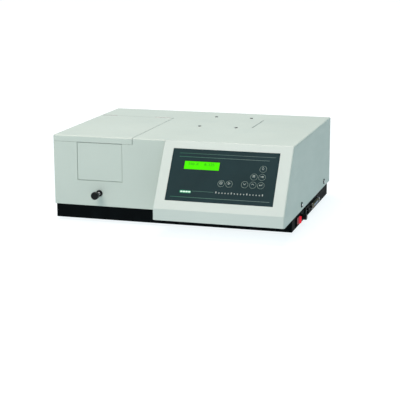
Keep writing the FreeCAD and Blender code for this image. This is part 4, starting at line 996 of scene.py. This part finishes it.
def cell_places():
    """Centres of the wells on top of the carriage, front to rear."""
    low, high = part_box("cell_carriage")
    first = Vector(((low.x + high.x) / 2, low.y + CARRIAGE_END + CELL_PITCH / 2, high.z))
    return [first + Y * (number * CELL_PITCH) for number in range(CELL_COUNT)]


def add_cell_springs():
    """A bent leaf spring in each well, which presses the cell towards the opposite wall."""
    mesh = bmesh.new()
    thick = X * SPRING_THICKNESS
    for top in cell_places():
        points = [top + X * (out * MM) - Y * (SPRING_WIDTH / 2) + Z * (up * MM) for out, up in SPRING_BEND]
        for start, end in zip(points, points[1:]):
            prism(mesh, [start, end, end + thick, start + thick], Y * SPRING_WIDTH)
    piece("cell_springs", mesh, "cell_changer", "plated_steel")


def add_cell_numbers():
    """Numbers one to four beside the wells."""
    mesh = bmesh.new()
    for number, top in enumerate(cell_places(), start=1):
        corner = top + Vector(NUMBER_AT) * MM
        for line in DIGIT_LINES[str(number)]:
            points = [corner + (X * right - Y * down) * MM for right, down in line]
            for start, end in zip(points, points[1:]):
                bar(mesh, start, end, NUMBER_STROKE, Z, NUMBER_RISE)
    piece("cell_numbers", mesh, "cell_changer", "black_anodised", WHITE_INK)


def add_lid_stiffener():
    """Pressed channel spot-welded under the lid, and two rubber buffers behind it."""
    low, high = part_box("sample_lid")
    ceiling = high.z - LID_SHEET
    start = Vector((low.x + STIFFENER_END, low.y + STIFFENER_AT, ceiling))
    mesh = bmesh.new()
    outline = [start + (Y * along + Z * up) * MM for along, up in STIFFENER_SECTION]
    prism(mesh, outline, X * (high.x - low.x - 2 * STIFFENER_END))
    piece("lid_stiffener", mesh, "lid", "case_paint", bevel=0.25 * MM)
    buffers = bmesh.new()
    inset, along = BUFFER_AT
    for x in (low.x + inset, high.x - inset):
        lathe(buffers, in_metres(BUFFER), Vector((x, low.y + along, ceiling)), -Z, steps=32)
    piece("lid_buffers", buffers, "lid", "rubber")


def add_deck_screws():
    """Pan-head screws that hold the deck round the chamber."""
    mesh = bmesh.new()
    low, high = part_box("compartment_deck")
    for x in (low.x + DECK_SCREW_X[0], high.x - DECK_SCREW_X[1]):
        for y in (low.y + DECK_SCREW_Y[0], high.y - DECK_SCREW_Y[1]):
            lathe(mesh, in_metres(DECK_SCREW), Vector((x, y, low.z + DECK_SHEET)), Z, steps=32)
    piece("deck_screws", mesh, "housing", "plated_steel")


def add_rod_marks():
    """Dark bands round the pull rod, one for each further cell, that show as it is drawn out."""
    radius = half_width("pull_rod")
    centre = middle_of("pull_rod")
    centre.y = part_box("rod_bush")[0].y - ROD_MARK_OUT
    mesh = bmesh.new()
    profile = [(along, radius + out) for along, out in ROD_MARK]
    for number in range(1, CELL_COUNT):
        lathe(mesh, profile, centre + Y * (number * CELL_PITCH), Y, closed=True)
    piece("rod_marks", mesh, "cell_changer", "black_steel")


add_cell_springs()
add_cell_numbers()
add_lid_stiffener()
add_deck_screws()
add_rod_marks()


# ---- feet and rear: profiles are in millimetres -----------------------------------------------------------
FOOT_RADIUS = 14 * MM
FOOT_OUT_OF_BOX = 0.04 * MM  # their box stops this much short of the round sides, front and rear
FOOT = [(3.2, 0.0), (3.2, 5.2), (0.6, 5.6), (0.0, 6.4), (0.0, 11.4), (0.6, 12.4), (2.0, 13.1), (7.4, 13.9),
        (8.0, 13.9), (8.0, 0.0)]
FOOT_SCREW = [(2.0, 0.0), (2.0, 0.7), (0.9, 1.0), (0.9, 2.2), (1.2, 3.2), (2.4, 3.4), (2.6, 4.6), (3.1, 4.6),
              (3.1, 0.0)]
FAN_SCREW = [(-0.3, 0.0), (-0.3, 3.9), (0.8, 3.8), (1.6, 2.9), (1.9, 1.5), (1.0, 1.0), (1.0, 0.0)]
FAN_SCREW_IN = 4.25 * MM


def foot_centres():
    """Where the four feet stand, from the corners of their common box."""
    low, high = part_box("rubber_feet")
    inset = FOOT_RADIUS - FOOT_OUT_OF_BOX
    return [Vector((x, y, 0)) for x in (low.x + FOOT_RADIUS, high.x - FOOT_RADIUS)
            for y in (low.y + inset, high.y - inset)]


def add_feet():
    """Tapered rubber feet with a recess for their screw."""
    rubber_mesh, steel_mesh = bmesh.new(), bmesh.new()
    for centre in foot_centres():
        lathe(rubber_mesh, in_metres(FOOT), centre, Z)
        lathe(steel_mesh, in_metres(FOOT_SCREW), centre, Z, steps=32)
    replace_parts(piece("feet", rubber_mesh, "housing", "rubber"), "rubber_feet")
    piece("feet_screws", steel_mesh, "housing", "plated_steel")


def add_fan_screws():
    """Four self-tapping screws through the rear wall into the fan's corners."""
    low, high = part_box("fan_frame")
    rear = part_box("upper_case")[1].y
    mesh = bmesh.new()
    for x in (low.x + FAN_SCREW_IN, high.x - FAN_SCREW_IN):
        for z in (low.z + FAN_SCREW_IN, high.z - FAN_SCREW_IN):
            lathe(mesh, in_metres(FAN_SCREW), Vector((x, rear, z)), Y, steps=32)
    piece("fan_screws", mesh, "housing", "black_steel")


add_feet()
add_fan_screws()


# ---- studio ---------------------------------------------------------------------------------------------
CAMERA_AT = (0.9077, -2.9351, 0.7379)
CAMERA_YAW = -16.803
CAMERA_PITCH = -12.976
CAMERA_ROLL = -0.188
CAMERA_LENS = 106.6
WARM = (1.0, 0.80, 0.745)
LIGHTS = {  # place, aim, size, watts
    "key": ((-0.7, -3.0, 2.4), (0.0, -0.1, 0.1), (1.7, 2.0), 90.0),
    "top": ((-0.15, 0.2, 3.4), (0.0, 0.0, 0.2), (0.9, 3.0), 130.0),
}
FLOOR_HALF = 20.0
FLOOR_TONES = ((0.14, 0.14, 0.14), (0.16, 0.16, 0.16))
FLOOR_GLOW = ((0.86, 0.91, 0.93), (0.98, 1.0, 1.0))
FLOOR_GLOW_RANGE = (0.6, 2.2)
HORIZON = (0.03, 0.12)
PALE = (0.9, 0.93, 0.93)
SKY = (0.10, 0.27, 0.33)


def add_camera():
    data = bpy.data.cameras.new("camera")
    data.lens = CAMERA_LENS
    data.clip_end = 100.0
    camera = bpy.data.objects.new("camera", data)
    bpy.context.scene.collection.objects.link(camera)
    yaw, pitch, roll = (math.radians(a) for a in (CAMERA_YAW, CAMERA_PITCH, CAMERA_ROLL))
    turn = Matrix.Rotation(-yaw, 4, "Z") @ Matrix.Rotation(math.pi / 2 + pitch, 4, "X")
    camera.matrix_world = Matrix.Translation(CAMERA_AT) @ turn @ Matrix.Rotation(roll, 4, "Z")
    bpy.context.scene.camera = camera


def add_area_light(name, place, aim, size, watts, colour):
    data = bpy.data.lights.new(name, "AREA")
    data.shape = "RECTANGLE"
    data.size, data.size_y = size
    data.energy = watts
    data.color = colour
    light = bpy.data.objects.new(name, data)
    bpy.context.scene.collection.objects.link(light)
    light.location = place
    light.rotation_euler = (Vector(aim) - Vector(place)).to_track_quat("-Z", "Y").to_euler()


def add_floor():
    """Pale floor that glows more with distance, so that its far part is as light as its lit part."""
    mesh = bmesh.new()
    bmesh.ops.create_grid(mesh, x_segments=8, y_segments=8, size=FLOOR_HALF)
    data = bpy.data.meshes.new("floor")
    mesh.to_mesh(data)
    mesh.free()
    floor = bpy.data.objects.new("floor", data)
    bpy.context.scene.collection.objects.link(floor)
    g = Graph("floor", Roughness=0.9, Specular_IOR_Level=0.1, Emission_Strength=1.0)
    g.link(g.blend_colours(g.spread(g.noise(3.0, 3.0), 0.0, 1.0), *FLOOR_TONES), "Base Color")
    distance = g.tree.nodes.new("ShaderNodeVectorMath")
    distance.operation = "LENGTH"
    g.tree.links.new(g.coords, distance.inputs[0])
    far = g.spread(distance.outputs["Value"], 0.0, 1.0, *FLOOR_GLOW_RANGE)
    g.link(g.blend_colours(far, *FLOOR_GLOW), "Emission Color")
    data.materials.append(g.material)


def add_world():
    """Soft cool sky over a pale horizon."""
    world = bpy.data.worlds.new("studio")
    world.use_nodes = True
    tree = world.node_tree
    direction = tree.nodes.new("ShaderNodeSeparateXYZ")
    tree.links.new(tree.nodes.new("ShaderNodeTexCoord").outputs["Generated"], direction.inputs[0])
    height = tree.nodes.new("ShaderNodeMapRange")
    height.inputs["From Min"].default_value = HORIZON[0]
    height.inputs["From Max"].default_value = HORIZON[1]
    tree.links.new(direction.outputs["Z"], height.inputs["Value"])
    sky = tree.nodes.new("ShaderNodeValToRGB")
    sky.color_ramp.elements[0].color = (*PALE, 1.0)
    sky.color_ramp.elements[1].color = (*SKY, 1.0)
    tree.links.new(height.outputs["Result"], sky.inputs["Fac"])
    tree.links.new(sky.outputs["Color"], tree.nodes["Background"].inputs["Color"])
    bpy.context.scene.world = world


add_camera()
add_floor()
add_world()
for name, (place, aim, size, watts) in LIGHTS.items():
    add_area_light(name, place, aim, size, watts, WARM)
bpy.context.scene.view_settings.view_transform = "Standard"
